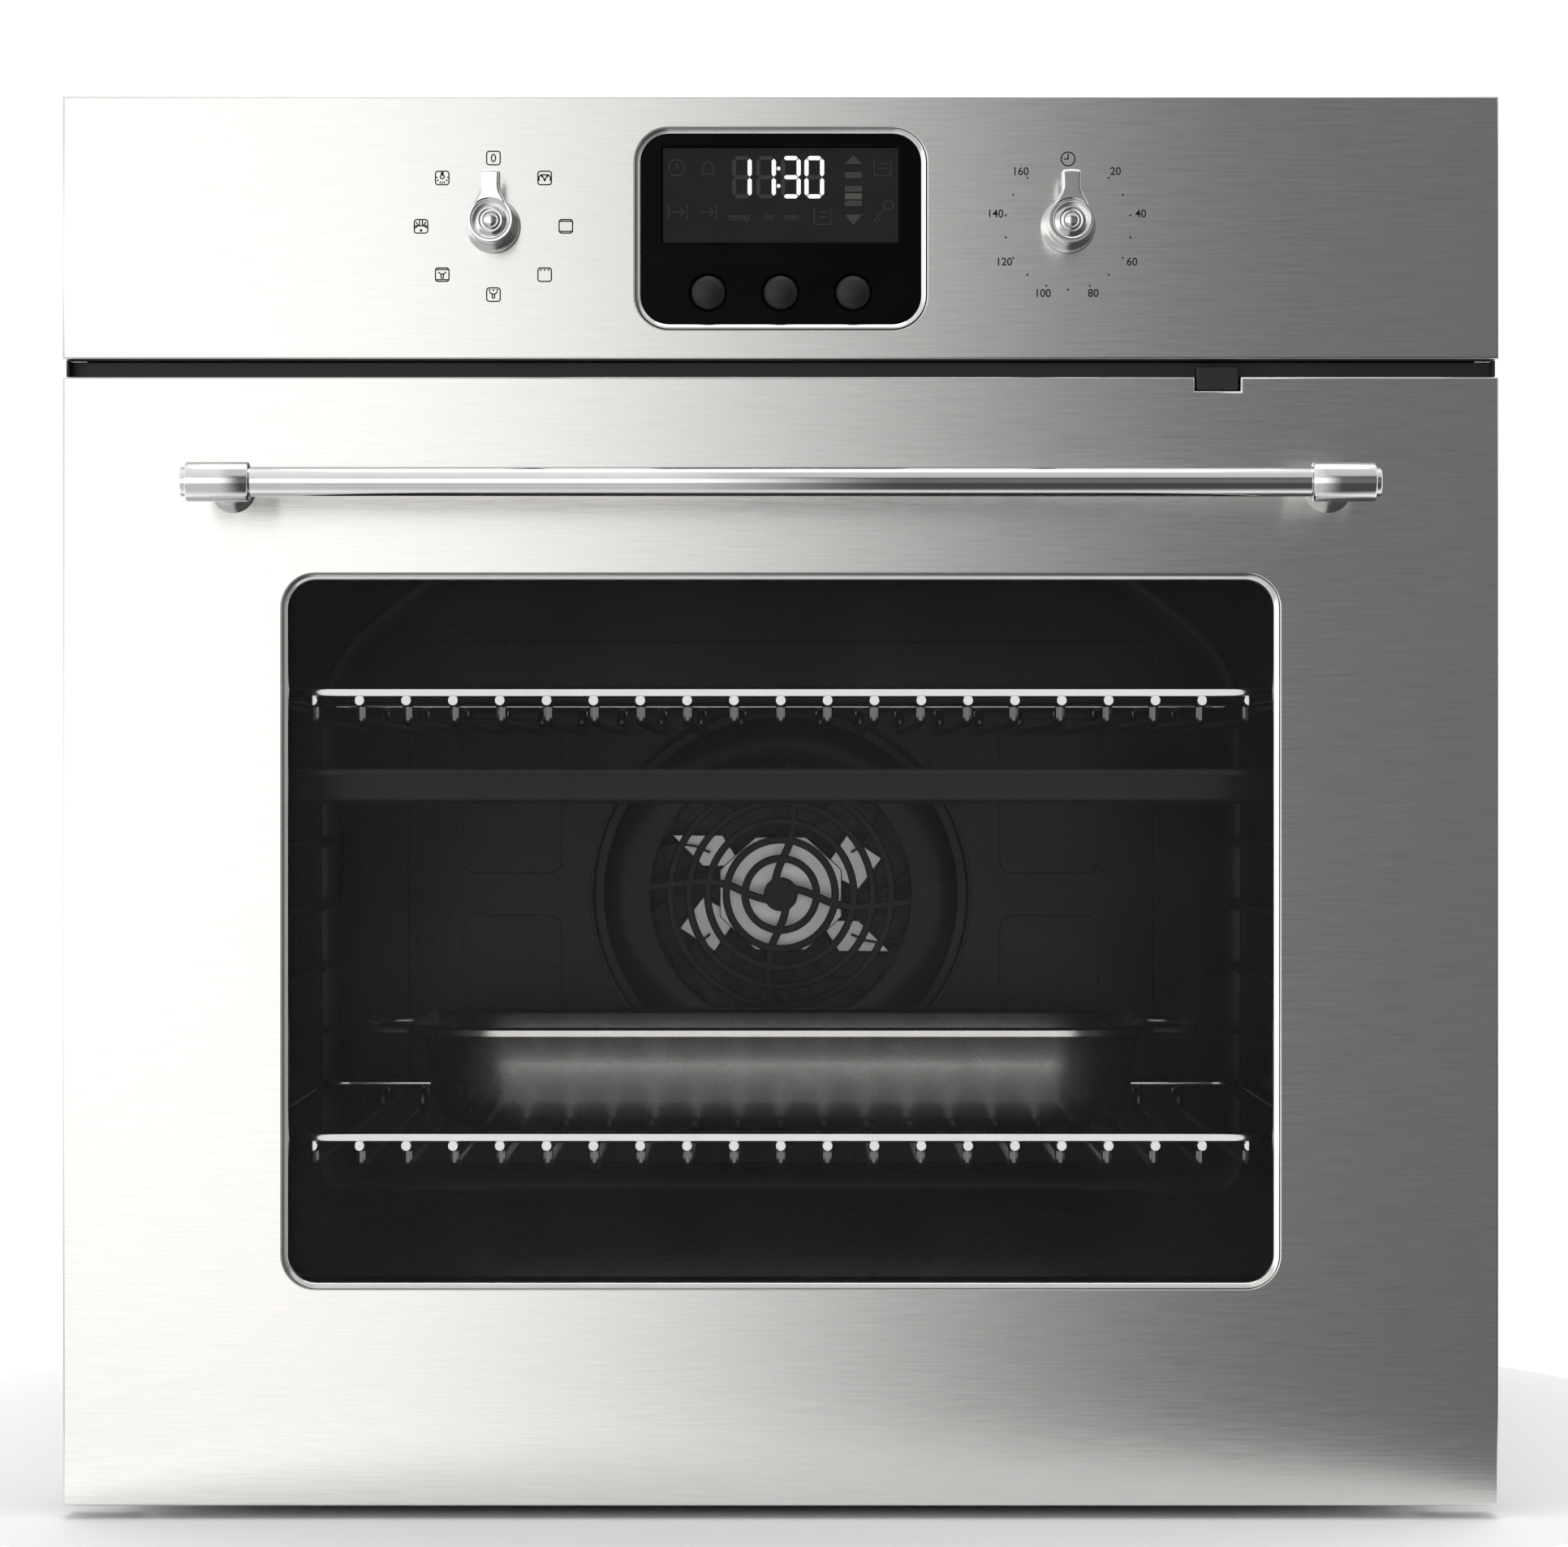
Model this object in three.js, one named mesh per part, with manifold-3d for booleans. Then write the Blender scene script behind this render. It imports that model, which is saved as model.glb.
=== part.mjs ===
// Built-in wall oven with a drop-down glass door, two dials and a clock display.
// Millimetres. +Z is up, the front faces -Y and +X is to the right when facing the front.
// The origin is the middle of the underside of the whole oven's box.

import * as THREE from "three";
import { mergeVertices } from "three/addons/utils/BufferGeometryUtils.js";
import Module from "manifold-3d";

const wasm = await Module();
wasm.setup();

// ---------------------------------------------------------------- driving dimensions

const gap = 0.3;                 // clearance between pieces that touch

// Overall sizes.
const frontWidth = 595;          // control panel and door
const overallHeight = 589;       // underside of the chassis to the top of the control panel
const panelHeight = 109;         // control panel
const ventHeight = 7.3;          // slot between the control panel and the door
const doorFloorGap = 5;          // underside of the chassis to the underside of the door
const frontDepth = 20;           // control panel and door skin, front to back
const bodyWidth = frontWidth - 37;       // chassis, behind the cabinet face
const bodyDepth = 546;           // chassis, from the cabinet face to the back
const bodyHeight = overallHeight - 17;   // chassis
const sheet = 1.2;               // steel sheet of the chassis
const skin = 1;                  // steel sheet of the panel and the door

// Door.
const windowWidth = frontWidth - 184;
const windowBottom = 91;         // from the door's lower edge to the window's lower edge
const windowHeight = overallHeight - panelHeight - windowBottom - 95;
const windowRadius = 13;
const glassThickness = 4;
const doorDepth = 38;            // door, front face to the face of the inner glass
const doorPlugWidth = bodyWidth - 58;    // the part of the door that enters the front frame
const plugBottom = 46;           // its lower edge above the chassis underside
const plugTopDrop = 12;          // from the door's top edge down to its upper edge
const pivotDepth = 18;           // hinge pin behind the door's front face
const pivotHeight = 35;          // hinge pin above the chassis underside
const hingeOffset = bodyWidth / 2 - 13;  // hinge pin centre, each side of the middle
const hingePinRadius = 3;
const glassEdge = 12;            // outer glass beyond the window
const middleEdge = 18;           // middle glass beyond the window
const middleDepth = 21;
const innerInset = 2;            // inner glass inside the plug's edge
const frameFront = 7;            // door frame's front face
const ventSlotsAside = 8;        // slots in the top of the door, each side of the middle one
const ventSlotPitch = 26;
const lockOffset = 181;          // child lock, right of the middle
const lockWidth = 18;
const lockDrop = 5.9;            // notch in the door's top edge
const lockRise = 3.4;            // top of the lever above the door
const lockPivot = frontDepth - 4;
const sealOuter = 7;             // door seal beyond the cavity
const sealInner = 1.5;

// Hinges.
const bracketPlate = 3;
const noseRadius = 7;            // end of the blade round the pin
const receiverBack = 150;
const receiverBottom = 18;
const receiverTop = 60;
const armWidth = 15;
const armLength = 150;
const hingeSlotWidth = 20;
const hingeSlotTop = 66;

// Handle.
const barRadius = 6;
const barLength = frontWidth - 111.5;
const handleReach = 52;          // bar axis in front of the door
const handleDrop = 47;           // bar axis below the door's top edge
const sleeveRadius = barRadius + 2;
const sleeveLength = 25.5;
const sleeveInset = 2.3;         // bar's end beyond the sleeve
const screwRadius = 2;

// Cavity.
const cavityWidth = bodyWidth - 86;
const cavityFloor = 95;
const cavityHeight = overallHeight - panelHeight - ventHeight - cavityFloor - 27.7;
const cavityFront = doorDepth + 9.5;     // behind the door's front face
const cavityDepth = bodyDepth - 156;
const cavityWall = 1.5;
const ceilingWidth = cavityWidth - 196;  // flat middle of the ceiling
const slopeRise = cavityHeight * 0.22;   // height of the sloping top corners
const cavityCorner = 12;
const chamberWidth = cavityWidth - 100;  // fan chamber behind the back wall
const chamberBottom = 20;        // above the cavity floor
const chamberHeight = cavityHeight - 93;
const chamberDepth = 41;
const chamberFlange = 9;
const fanHeight = chamberBottom + chamberHeight / 2 + 4.5;    // fan axis above the cavity floor
const woolThickness = 18;

// Front frame and housing.
const flangeInset = 7;           // flange inside the front's edge, each side
const flangeThickness = 2.2;     // side strips that bear on the cabinet
const screwLow = 120;            // cabinet screws above the chassis underside
const screwHigh = overallHeight - 149;
const cabinetScrewRadius = 2.5;
const baseHeight = 14;
const backSlotRows = 7;
const backSlotBottom = 300;
const backSlotPitch = 14;
const backSlotWidth = 120;
const backSlotHeight = 6;
const topSlotRows = 8;
const topSlotInset = 200;        // first slot in front of the back
const topSlotPitch = 12;
const topSlotWidth = 150;
const topSlotLength = 5;

// Heaters, fans and lamp.
const lampOffset = -ceilingWidth / 4;
const lampSetBack = cavityDepth - 100;   // lamp behind the cavity's front
const lampRadius = 26;
const heaterRadius = 3.5;
const elementFeed = 40;          // grill heater's ends, each side of the middle
const grillDrop = 16;            // grill tube below the ceiling
const grillInner = ceilingWidth * 0.27;
const grillOuter = ceilingWidth * 0.42;
const bottomHeaterWidth = cavityWidth - 142;
const ringRadius = chamberHeight * 0.358;
const ringSetBack = 24;          // ring heater behind the back wall
const coverWidth = chamberWidth + 10;
const coverLift = 15;            // fan cover above the cavity floor
const coverHeight = chamberHeight + 11;
const coverThickness = 1.5;
const coverStand = 5;            // cover's face in front of the back wall
const outletWidth = coverWidth * 0.136;
const outletHeight = coverHeight * 0.313;
const outletOffset = coverWidth * 0.351; // hot air outlets from the fan axis
const outletLift = outletHeight / 2 + 10;
const grilleRadius = ringRadius - 25;
const grilleHub = grilleRadius * 0.13;
const grilleRings = 6;
const grillePitch = (grilleRadius - grilleHub) / grilleRings;
const grilleBar = grillePitch * 0.39;
const grilleTwist = [9, 2, -6, -10, -8, -4];    // degrees, from the inner ring outwards
const impellerRadius = ringRadius - 18;
const hubRadius = 36;
const bladeCount = 12;
const bladeLength = 30;

// Cooling air and the supply terminals.
const ductWidth = bodyWidth - 198;
const ductRise = 26;
const ductMouth = 7;
const blowerHalf = ductWidth / 4;        // blower, each side of the middle
const blowerLength = 110;
const blowerSetIn = 205;         // blower's front ahead of the oven's back
const vaneCount = 8;
const outletsAside = 11;         // air outlets over the door, each side of the middle one
const outletPitch = 22;
const trimDepth = 11;            // face of the dark channel behind the door's front face
const inletX = bodyWidth / 2 - 79;
const inletZ = bodyHeight - 52;
const inletWidth = 50;
const inletHeight = 34;
const terminalPitch = 14;

// Racks, tray and pan.
const wire = 2.3;                // radius of the rack's wires
const rackHalfWidth = cavityWidth / 2 - 5;       // centre of a rack's side rail
const rackFront = cavityFront + 12.5;    // centre of the front rail behind the door's front face
const rackLength = cavityDepth - 40;     // front rail to back rail
const rodCount = 21;
const rodPitch = rackHalfWidth / 11 - 1;
const rodDrop = 12.5;            // grid below the rails
const rackCorner = 8;
const hookReach = 8;             // from a rail to where its hooks turn down
const crossInset = 30;           // cross wires from the ends of the grid
const levelCount = 7;
const firstLevel = 58;           // lowest rail centre above the cavity floor
const topLevelDrop = 24.8;       // highest rail centre below the sloping corners
const levelPitch = (cavityHeight - slopeRise - firstLevel - topLevelDrop) / (levelCount - 1);
const ribReach = 7.5;            // how far a shelf rib stands out of the wall
const ribHeight = 7;
const trayDepth = 15;
const traySheet = 1.2;
const trayRim = 11;
const panWidth = cavityWidth - 132;
const panLength = rackLength / 2 + 3;
const panHeight = 48;
const panSheet = 1.5;
const panSetBack = rackFront + rackLength - panLength - 14;    // pan's front behind the door's front face
const panRim = 6;
const panHandle = 28;            // how far a handle stands out of the pan
const panTaper = 12;             // pan's foot inside its rim, each side

// Controls.
const dialOffset = frontWidth / 5;       // dial axes, each side of the middle
const dialHeight = panelHeight / 2 - 0.5;        // below the top of the panel
const knobRadius = 9.8;
const bowlRadius = knobRadius - 1.8;     // hollow in the knob's face
const knobReach = 24;
const neckHalf = 3.7;            // half the width of the knob's pointer
const neckTip = 21.5;            // pointer's tip from the axis
const spindleRadius = 3;
const spindleEnd = 30;
const switchFront = 16;
const switchSize = 46;
const displayWidth = 118.5;
const displayHeight = panelHeight - 27.8;
const displayDrop = 14.4;        // from the top of the panel to the top of the display
const displayRadius = 13;
const screenWidth = 97.8;
const screenHeight = displayHeight * 0.4865;
const screenDrop = 6.8;          // from the top of the display to the top of the screen
const buttonRadius = 7.4;
const buttonPitch = 30;
const buttonHeight = 14.3;       // above the lower edge of the display
const buttonTravel = 1.5;
const fasciaFront = 0.6;
const fasciaBack = 7;
const fasciaLip = 4;             // hidden edge behind the panel
const screenFront = 1.2;
const screenBack = 12;
const boardDepth = screenBack + 2;

// ---------------------------------------------------------------- places worked out from them

const handleProjection = handleReach + sleeveRadius;
const totalDepth = handleProjection + frontDepth + gap * 3 + bodyDepth;
const frontY = handleProjection - totalDepth / 2;       // the door's front face
const cabinetDepth = totalDepth - handleProjection - bodyDepth;
const backDepth = cabinetDepth + bodyDepth;
const panelTop = overallHeight;
const panelBottom = panelTop - panelHeight;
const doorTop = panelBottom - ventHeight;
const doorBottom = doorFloorGap;
const windowFoot = doorBottom + windowBottom;
const plugTop = doorTop - plugTopDrop;
const barHeight = doorTop - handleDrop;
const sleeveCentre = barLength / 2 - sleeveInset - sleeveLength / 2;
const cavityBack = cavityFront + cavityDepth;
const ceiling = cavityFloor + cavityHeight;
const fanAxis = cavityFloor + fanHeight;
const chamberFloor = cavityFloor + chamberBottom;
const chamberBack = cavityBack + chamberDepth;
const coverBottom = cavityFloor + coverLift;
const fanFront = cavityBack + 6;
const fanRear = cavityBack + 32;
const ringDepth = cavityBack + ringSetBack;
const ringEnd = fanAxis - Math.sqrt(ringRadius ** 2 - (elementFeed / 2) ** 2);
const grillHeight = ceiling - grillDrop;
const lampDepth = cavityFront + lampSetBack;
const sealDepth = cavityFront - gap - sheet;            // front of the seal face
const tunnelWidth = doorPlugWidth + 12;
const tunnelBottom = plugBottom - 6;
const tunnelTop = plugTop + 5;
const flangeWidth = frontWidth - flangeInset * 2;
const flangeBottom = pivotHeight + 3;
const flangeTop = panelTop - 4;
const receiverFront = sealDepth + sheet + 3.8;
const baseFront = receiverFront + 1;
const ductBottom = doorTop + 0.4;
const blowerFront = backDepth - blowerSetIn;
const blowerBack = blowerFront + blowerLength;
const blowerBottom = ductBottom;
const blowerTop = bodyHeight - 6;
const blowerDepth = (blowerFront + blowerBack) / 2;
const blowerAxis = (blowerBottom + blowerTop) / 2;
const blowerRadius = (blowerTop - blowerBottom) / 2 - 4;
const dialAxis = panelTop - dialHeight;
const displayTop = panelTop - displayDrop;
const displayCentre = displayTop - displayHeight / 2;
const displayBottom = displayTop - displayHeight;
const screenCentre = displayTop - screenDrop - screenHeight / 2;
const buttonAxis = displayBottom + buttonHeight;
const levelHeight = (level) => cavityFloor + firstLevel + levelPitch * (level - 1);
const ribTop = (level) => levelHeight(level) - wire - gap;

// ---------------------------------------------------------------- materials

function finish(color, roughness, metalness) {
  return new THREE.MeshStandardMaterial({ color, roughness, metalness });
}

const brushedSteel = () => finish(0xb9b6b2, 0.35, 1);
const chrome = () => finish(0xe2e2e2, 0.08, 1);
const galvanised = () => finish(0xa9adb0, 0.5, 0.9);
const enamel = () => finish(0x242323, 0.3, 0.1);
const blackPlastic = () => finish(0x121212, 0.45, 0);
const blackGlass = () => finish(0x0a0a0a, 0.08, 0);
const clearGlass = () => finish(0x3a3c3c, 0.05, 0);
const aluminium = () => finish(0xcfd0d0, 0.35, 1);
const wireSteel = () => finish(0xc9c9c8, 0.2, 1);
const panSteel = () => finish(0xbdbab5, 0.3, 1);
const seal = () => finish(0x3c3b3a, 0.9, 0);
const wool = () => finish(0xcfc8b4, 0.95, 0);
const boardGreen = () => finish(0x1f4a33, 0.6, 0);
const ceramic = () => finish(0xe6e2d8, 0.6, 0);

// ---------------------------------------------------------------- solids

// A closed three.js geometry as a manifold solid.
function solid(geometry) {
  const bare = geometry.clone();
  bare.deleteAttribute("normal");
  bare.deleteAttribute("uv");
  const merged = mergeVertices(bare, 1e-4);
  const vertProperties = new Float32Array(merged.attributes.position.array);
  const triVerts = new Uint32Array(merged.index.array);
  return new wasm.Manifold(new wasm.Mesh({ numProp: 3, vertProperties, triVerts }));
}

// A manifold solid as a named mesh in the oven.
function addPiece(name, shape, material) {
  const mesh = shape.getMesh();
  const geometry = new THREE.BufferGeometry();
  geometry.setAttribute("position", new THREE.BufferAttribute(mesh.vertProperties, 3));
  geometry.setIndex(new THREE.BufferAttribute(mesh.triVerts, 1));
  geometry.computeVertexNormals();
  const piece = new THREE.Mesh(geometry, material);
  piece.name = name;
  oven.add(piece);
}

// Joins a list of solids.
function join(shapes) {
  return shapes.reduce((whole, shape) => whole.add(shape));
}

// Takes a list of solids out of the first.
function cut(shape, holes) {
  return holes.reduce((whole, hole) => whole.subtract(hole), shape);
}

// Box between x0..x1, depths d0..d1 behind the door's front face, and z0..z1.
function block(x0, x1, d0, d1, z0, z1) {
  const geometry = new THREE.BoxGeometry(x1 - x0, d1 - d0, z1 - z0);
  geometry.translate((x0 + x1) / 2, frontY + (d0 + d1) / 2, (z0 + z1) / 2);
  return solid(geometry);
}

// The same box, centred on x = 0.
function centred(width, d0, d1, z0, z1) {
  return block(-width / 2, width / 2, d0, d1, z0, z1);
}

// Outline drawn in x and z, run from depth d0 to depth d1.
function plate(shape, d0, d1, segments = 5) {
  const options = { depth: d1 - d0, bevelEnabled: false, curveSegments: segments };
  const geometry = new THREE.ExtrudeGeometry(shape, options);
  geometry.rotateX(Math.PI / 2);
  geometry.translate(0, frontY + d1, 0);
  return solid(geometry);
}

// Outline drawn in depth and z, run from x0 to x1.
function profile(shape, x0, x1, segments = 5) {
  const options = { depth: x1 - x0, bevelEnabled: false, curveSegments: segments };
  const geometry = new THREE.ExtrudeGeometry(shape, options);
  geometry.rotateY(Math.PI / 2);
  geometry.rotateX(Math.PI / 2);
  geometry.translate(x0, frontY, 0);
  return solid(geometry);
}

// Rectangle with round corners, centred on x and z.
function roundRect(width, height, radius, x, z) {
  const w = width / 2;
  const h = height / 2;
  const shape = new THREE.Shape();
  shape.moveTo(x - w + radius, z - h);
  shape.lineTo(x + w - radius, z - h);
  shape.absarc(x + w - radius, z - h + radius, radius, -Math.PI / 2, 0);
  shape.lineTo(x + w, z + h - radius);
  shape.absarc(x + w - radius, z + h - radius, radius, 0, Math.PI / 2);
  shape.lineTo(x - w + radius, z + h);
  shape.absarc(x - w + radius, z + h - radius, radius, Math.PI / 2, Math.PI);
  shape.lineTo(x - w, z - h + radius);
  shape.absarc(x - w + radius, z - h + radius, radius, Math.PI, Math.PI * 1.5);
  return shape;
}

// Closed outline through a list of corners.
function polygon(corners) {
  return new THREE.Shape(corners.map(([a, b]) => new THREE.Vector2(a, b)));
}

// Round piece on an axis that runs front to back. The profile lists [radius, depth].
function turned(x, z, outline, sides = 24) {
  const points = outline.map(([r, d]) => new THREE.Vector2(r, d));
  const geometry = new THREE.LatheGeometry(points, sides);
  geometry.translate(x, frontY, z);
  const shape = solid(geometry);
  return shape.volume() < 0 ? solid(flipped(geometry)) : shape;
}

// The same surface facing the other way.
function flipped(geometry) {
  const index = Array.from(geometry.index.array).reverse();
  const turnedOver = geometry.clone();
  turnedOver.setIndex(index);
  return turnedOver;
}

// Round bar between two points given as [x, depth, z].
function rod(from, to, radius, sides = 8) {
  const a = new THREE.Vector3(from[0], frontY + from[1], from[2]);
  const b = new THREE.Vector3(to[0], frontY + to[1], to[2]);
  const along = b.clone().sub(a);
  const geometry = new THREE.CylinderGeometry(radius, radius, along.length(), sides);
  const up = new THREE.Vector3(0, 1, 0);
  geometry.applyQuaternion(new THREE.Quaternion().setFromUnitVectors(up, along.normalize()));
  geometry.translate((a.x + b.x) / 2, (a.y + b.y) / 2, (a.z + b.z) / 2);
  return solid(geometry);
}

// Bars end to end along a list of points, each a little long so that the corners close.
function bentRod(points, radius, sides = 6) {
  const bars = [];
  for (let i = 1; i < points.length; i += 1) {
    const start = new THREE.Vector3(...points[i - 1]);
    const end = new THREE.Vector3(...points[i]);
    const extra = end.clone().sub(start).setLength(radius * 0.7);
    if (i > 1) start.sub(extra);
    if (i < points.length - 1) end.add(extra);
    bars.push(rod(start.toArray(), end.toArray(), radius, sides));
  }
  return join(bars);
}

const oven = new THREE.Group();
const bothSides = [["left", -1], ["right", 1]];

// ---------------------------------------------------------------- chassis

// Cross-section of the cavity, grown outwards by a wall.
function cavitySection(wall) {
  const half = cavityWidth / 2 + wall;
  const top = ceiling + wall;
  const floor = cavityFloor - wall;
  const radius = cavityCorner + wall;
  const shoulder = ceiling - slopeRise + wall * 0.4;
  const flat = ceilingWidth / 2 + wall * 0.4;
  const shape = new THREE.Shape();
  shape.moveTo(-half + radius, floor);
  shape.lineTo(half - radius, floor);
  shape.absarc(half - radius, floor + radius, radius, -Math.PI / 2, 0);
  shape.lineTo(half, shoulder);
  shape.lineTo(flat, top);
  shape.lineTo(-flat, top);
  shape.lineTo(-half, shoulder);
  shape.lineTo(-half, floor + radius);
  shape.absarc(-half + radius, floor + radius, radius, Math.PI, Math.PI * 1.5);
  return shape;
}

function upright(x, d, z0, z1, radius, sides = 20) {
  return rod([x, d, z0], [x, d, z1], radius, sides);
}

// Bar that runs front to back.
function lengthways(x, z, d0, d1, radius, sides = 16) {
  return rod([x, d0, z], [x, d1, z], radius, sides);
}

// Bar that runs from side to side.
function crossways(x0, x1, d, z, radius, sides = 16) {
  return rod([x0, d, z], [x1, d, z], radius, sides);
}

function addCavity() {
  const rear = cavityBack + cavityWall;
  const outer = plate(cavitySection(cavityWall), cavityFront, rear);
  const inside = plate(cavitySection(0), cavityFront - 1, cavityBack);
  const chamberMouth = chamberBlock(0, cavityBack - 1, rear + 1);
  const lampHole = upright(lampOffset, lampDepth, ceiling - 1, ceiling + 3, lampRadius);
  const feeds = [-1, 1].map((side) => {
    return lengthways(side * elementFeed, grillHeight, cavityBack - 1, rear + 1, heaterRadius + gap);
  });
  addPiece("cavity", cut(outer, [inside, chamberMouth, lampHole, ...feeds]), enamel());
}

function chamberBlock(wall, d0, d1) {
  const bottom = chamberFloor - wall;
  const top = chamberFloor + chamberHeight + wall;
  return centred(chamberWidth + wall * 2, d0, d1, bottom, top);
}

// Box behind the back wall that holds the fan and the ring heater, with a flange for its welds.
function addFanChamber() {
  const front = cavityBack + cavityWall + gap;
  const rear = chamberBack + cavityWall;
  const flange = chamberBlock(chamberFlange, front, front + sheet);
  const box = chamberBlock(cavityWall, front, rear);
  const inside = chamberBlock(0, front - 1, chamberBack);
  const shaftHole = lengthways(0, fanAxis, chamberBack - 1, rear + 1, spindleRadius + 3);
  const feeds = [-1, 1].map((side) => {
    return lengthways(side * elementFeed / 2, ringEnd, chamberBack - 1, rear + 1, heaterRadius + gap, 8);
  });
  addPiece("fan_chamber", cut(flange.add(box), [inside, shaftHole, ...feeds]), enamel());
}

function hingeSlots() {
  return bothSides.map(([, side]) => {
    const x = side * hingeOffset;
    const half = hingeSlotWidth / 2;
    return block(x - half, x + half, 0, sealDepth, 0, hingeSlotTop);
  });
}

// Frame that closes the chassis in front: a flange against the cabinet and a tunnel for the door.
function addFrontFrame() {
  const d0 = cabinetDepth;
  const d1 = d0 + sheet + 1;
  const flange = centred(flangeWidth, d0, d0 + sheet, flangeBottom, flangeTop);
  const sealFace = sealDepth + sheet;
  const tunnel = centred(tunnelWidth + sheet * 2, d0, sealFace, tunnelBottom - sheet, tunnelTop + sheet);
  const room = centred(tunnelWidth, d0 - 1, sealDepth, tunnelBottom, tunnelTop);
  const mouth = plate(cavitySection(0), sealDepth - 1, sealFace + 1);
  const controls = centred(flangeWidth - 40, d0 - 1, d1, panelBottom + 8, panelTop - 14);
  const ventHole = centred(ductWidth, d0 - 1, d1, ductBottom, ductBottom + ductMouth - 1);
  const strips = bothSides.map(([, side]) => sideStrip(side, d0));
  const screwHoles = cabinetScrewPlaces().map(([x, z]) => {
    return lengthways(x, z, d0 - 1, d0 + flangeThickness + 1, cabinetScrewRadius, 12);
  });
  const holes = [room, mouth, controls, ventHole, ...hingeSlots(), ...screwHoles];
  addPiece("front_frame", cut(join([flange, tunnel, ...strips]), holes), enamel());
}

// Thicker strip that bears on the cabinet's side panel.
function sideStrip(side, d0) {
  const inner = side * (bodyWidth / 2 + 1);
  const outer = side * flangeWidth / 2;
  const left = Math.min(inner, outer);
  return block(left, left + Math.abs(outer - inner), d0, d0 + flangeThickness, flangeBottom, flangeTop);
}

// Screw holes that hold the oven in its cabinet.
function cabinetScrewPlaces() {
  const x = flangeWidth / 2 - 6;
  return [[-x, screwLow], [x, screwLow], [-x, screwHigh], [x, screwHigh]];
}

function addHousing() {
  const half = bodyWidth / 2;
  const front = cabinetDepth + sheet + gap;
  const rear = backDepth - sheet;
  const base = centred(bodyWidth, baseFront, backDepth, 0, baseHeight);
  const baseRoom = centred(bodyWidth - sheet * 2, baseFront + sheet, rear, sheet, baseHeight + 1);
  addPiece("housing_base", base.subtract(baseRoom), galvanised());
  for (const [name, side] of bothSides) {
    const panel = block(half - sheet, half, front, rear - gap, baseHeight + gap, bodyHeight);
    const notch = block(half - sheet - 1, half + 1, front - 1, baseFront, 0, hingeSlotTop);
    const wall = panel.subtract(notch);
    addPiece(`housing_${name}`, side < 0 ? wall.mirror([1, 0, 0]) : wall, galvanised());
  }
  addPiece("housing_back", housingBack(), galvanised());
  const topWidth = bodyWidth - (sheet + gap) * 2;
  const cover = centred(topWidth, front, rear - gap, bodyHeight - sheet, bodyHeight);
  addPiece("housing_top", cut(cover, coolingSlots()), galvanised());
}

function housingBack() {
  const panel = centred(bodyWidth, backDepth - sheet, backDepth, baseHeight + gap, bodyHeight);
  const slots = [];
  for (let row = 0; row < backSlotRows; row += 1) {
    const z = backSlotBottom + row * backSlotPitch;
    slots.push(centred(backSlotWidth, backDepth - 3, backDepth + 1, z, z + backSlotHeight));
  }
  const w = inletWidth / 2 + 3;
  const h = inletHeight / 2 + 3;
  const inlet = block(inletX - w, inletX + w, backDepth - 3, backDepth + 1, inletZ - h, inletZ + h);
  return cut(panel, [...slots, inlet]);
}

function coolingSlots() {
  const slots = [];
  for (let row = 0; row < topSlotRows; row += 1) {
    const d = backDepth - topSlotInset + row * topSlotPitch;
    slots.push(centred(topSlotWidth, d, d + topSlotLength, bodyHeight - 3, bodyHeight + 1));
  }
  return slots;
}

// Wool wrap round the cavity, open in front and round the fan chamber behind.
function addInsulation() {
  const front = cavityFront + 14;
  const rear = cavityBack + 6;
  const inner = plate(cavitySection(cavityWall + gap), front - 1, rear + 1);
  const outer = plate(cavitySection(cavityWall + woolThickness), front, rear);
  const lampRoom = upright(lampOffset, lampDepth, ceiling, ceiling + 60, lampRadius + 8, 12);
  const roomWidth = bottomHeaterWidth + 30;
  const floorRoom = centred(roomWidth, front + 20, rear - 10, cavityFloor - 14, cavityFloor);
  addPiece("insulation_wrap", cut(outer, [inner, lampRoom, floorRoom]), wool());
}

function addDoorSeal() {
  const depth = sealDepth - gap;
  const outer = plate(cavitySection(sealOuter), doorDepth + gap, depth, 3);
  const inner = plate(cavitySection(sealInner), doorDepth - 1, depth + 1, 3);
  addPiece("door_seal", outer.subtract(inner), seal());
}

// ---------------------------------------------------------------- hinges

function pinBore(x, reach) {
  return crossways(x - reach, x + reach, pivotDepth, pivotHeight, hingePinRadius + gap);
}

// Blade that carries the pin, and the spring box behind it.
function hingeBracket(x) {
  const nose = new THREE.Shape();
  const r = noseRadius;
  nose.moveTo(pivotDepth, pivotHeight + r);
  nose.absarc(pivotDepth, pivotHeight, r, Math.PI / 2, Math.PI * 1.5);
  nose.lineTo(receiverFront + 5, pivotHeight - r);
  nose.lineTo(receiverFront + 5, pivotHeight + r);
  const blade = profile(nose, x - bracketPlate / 2, x + bracketPlate / 2, 6);
  const half = hingeSlotWidth / 2 - 1;
  const receiver = block(x - half, x + half, receiverFront, receiverBack, receiverBottom, receiverTop);
  return blade.add(receiver).subtract(pinBore(x, half));
}

// Channel that stands in the door and turns on the pin.
function hingeArm(x) {
  const front = pivotDepth - noseRadius - 2.5;
  const bottom = pivotHeight - 9;
  const top = bottom + armLength;
  const half = armWidth / 2;
  const outer = block(x - half, x + half, front, frontDepth - 1, bottom, top);
  const room = block(x - half + 2, x + half - 2, front + 1.8, frontDepth, bottom - 1, top + 1);
  return cut(outer, [room, pinBore(x, half + 1)]);
}

function hingePin(x) {
  const half = armWidth / 2 + 0.8;
  const shaft = crossways(x - half, x + half, pivotDepth, pivotHeight, hingePinRadius);
  const head = crossways(x - half - 1.2, x - half + 0.4, pivotDepth, pivotHeight, hingePinRadius + 1);
  return shaft.add(head);
}

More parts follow.
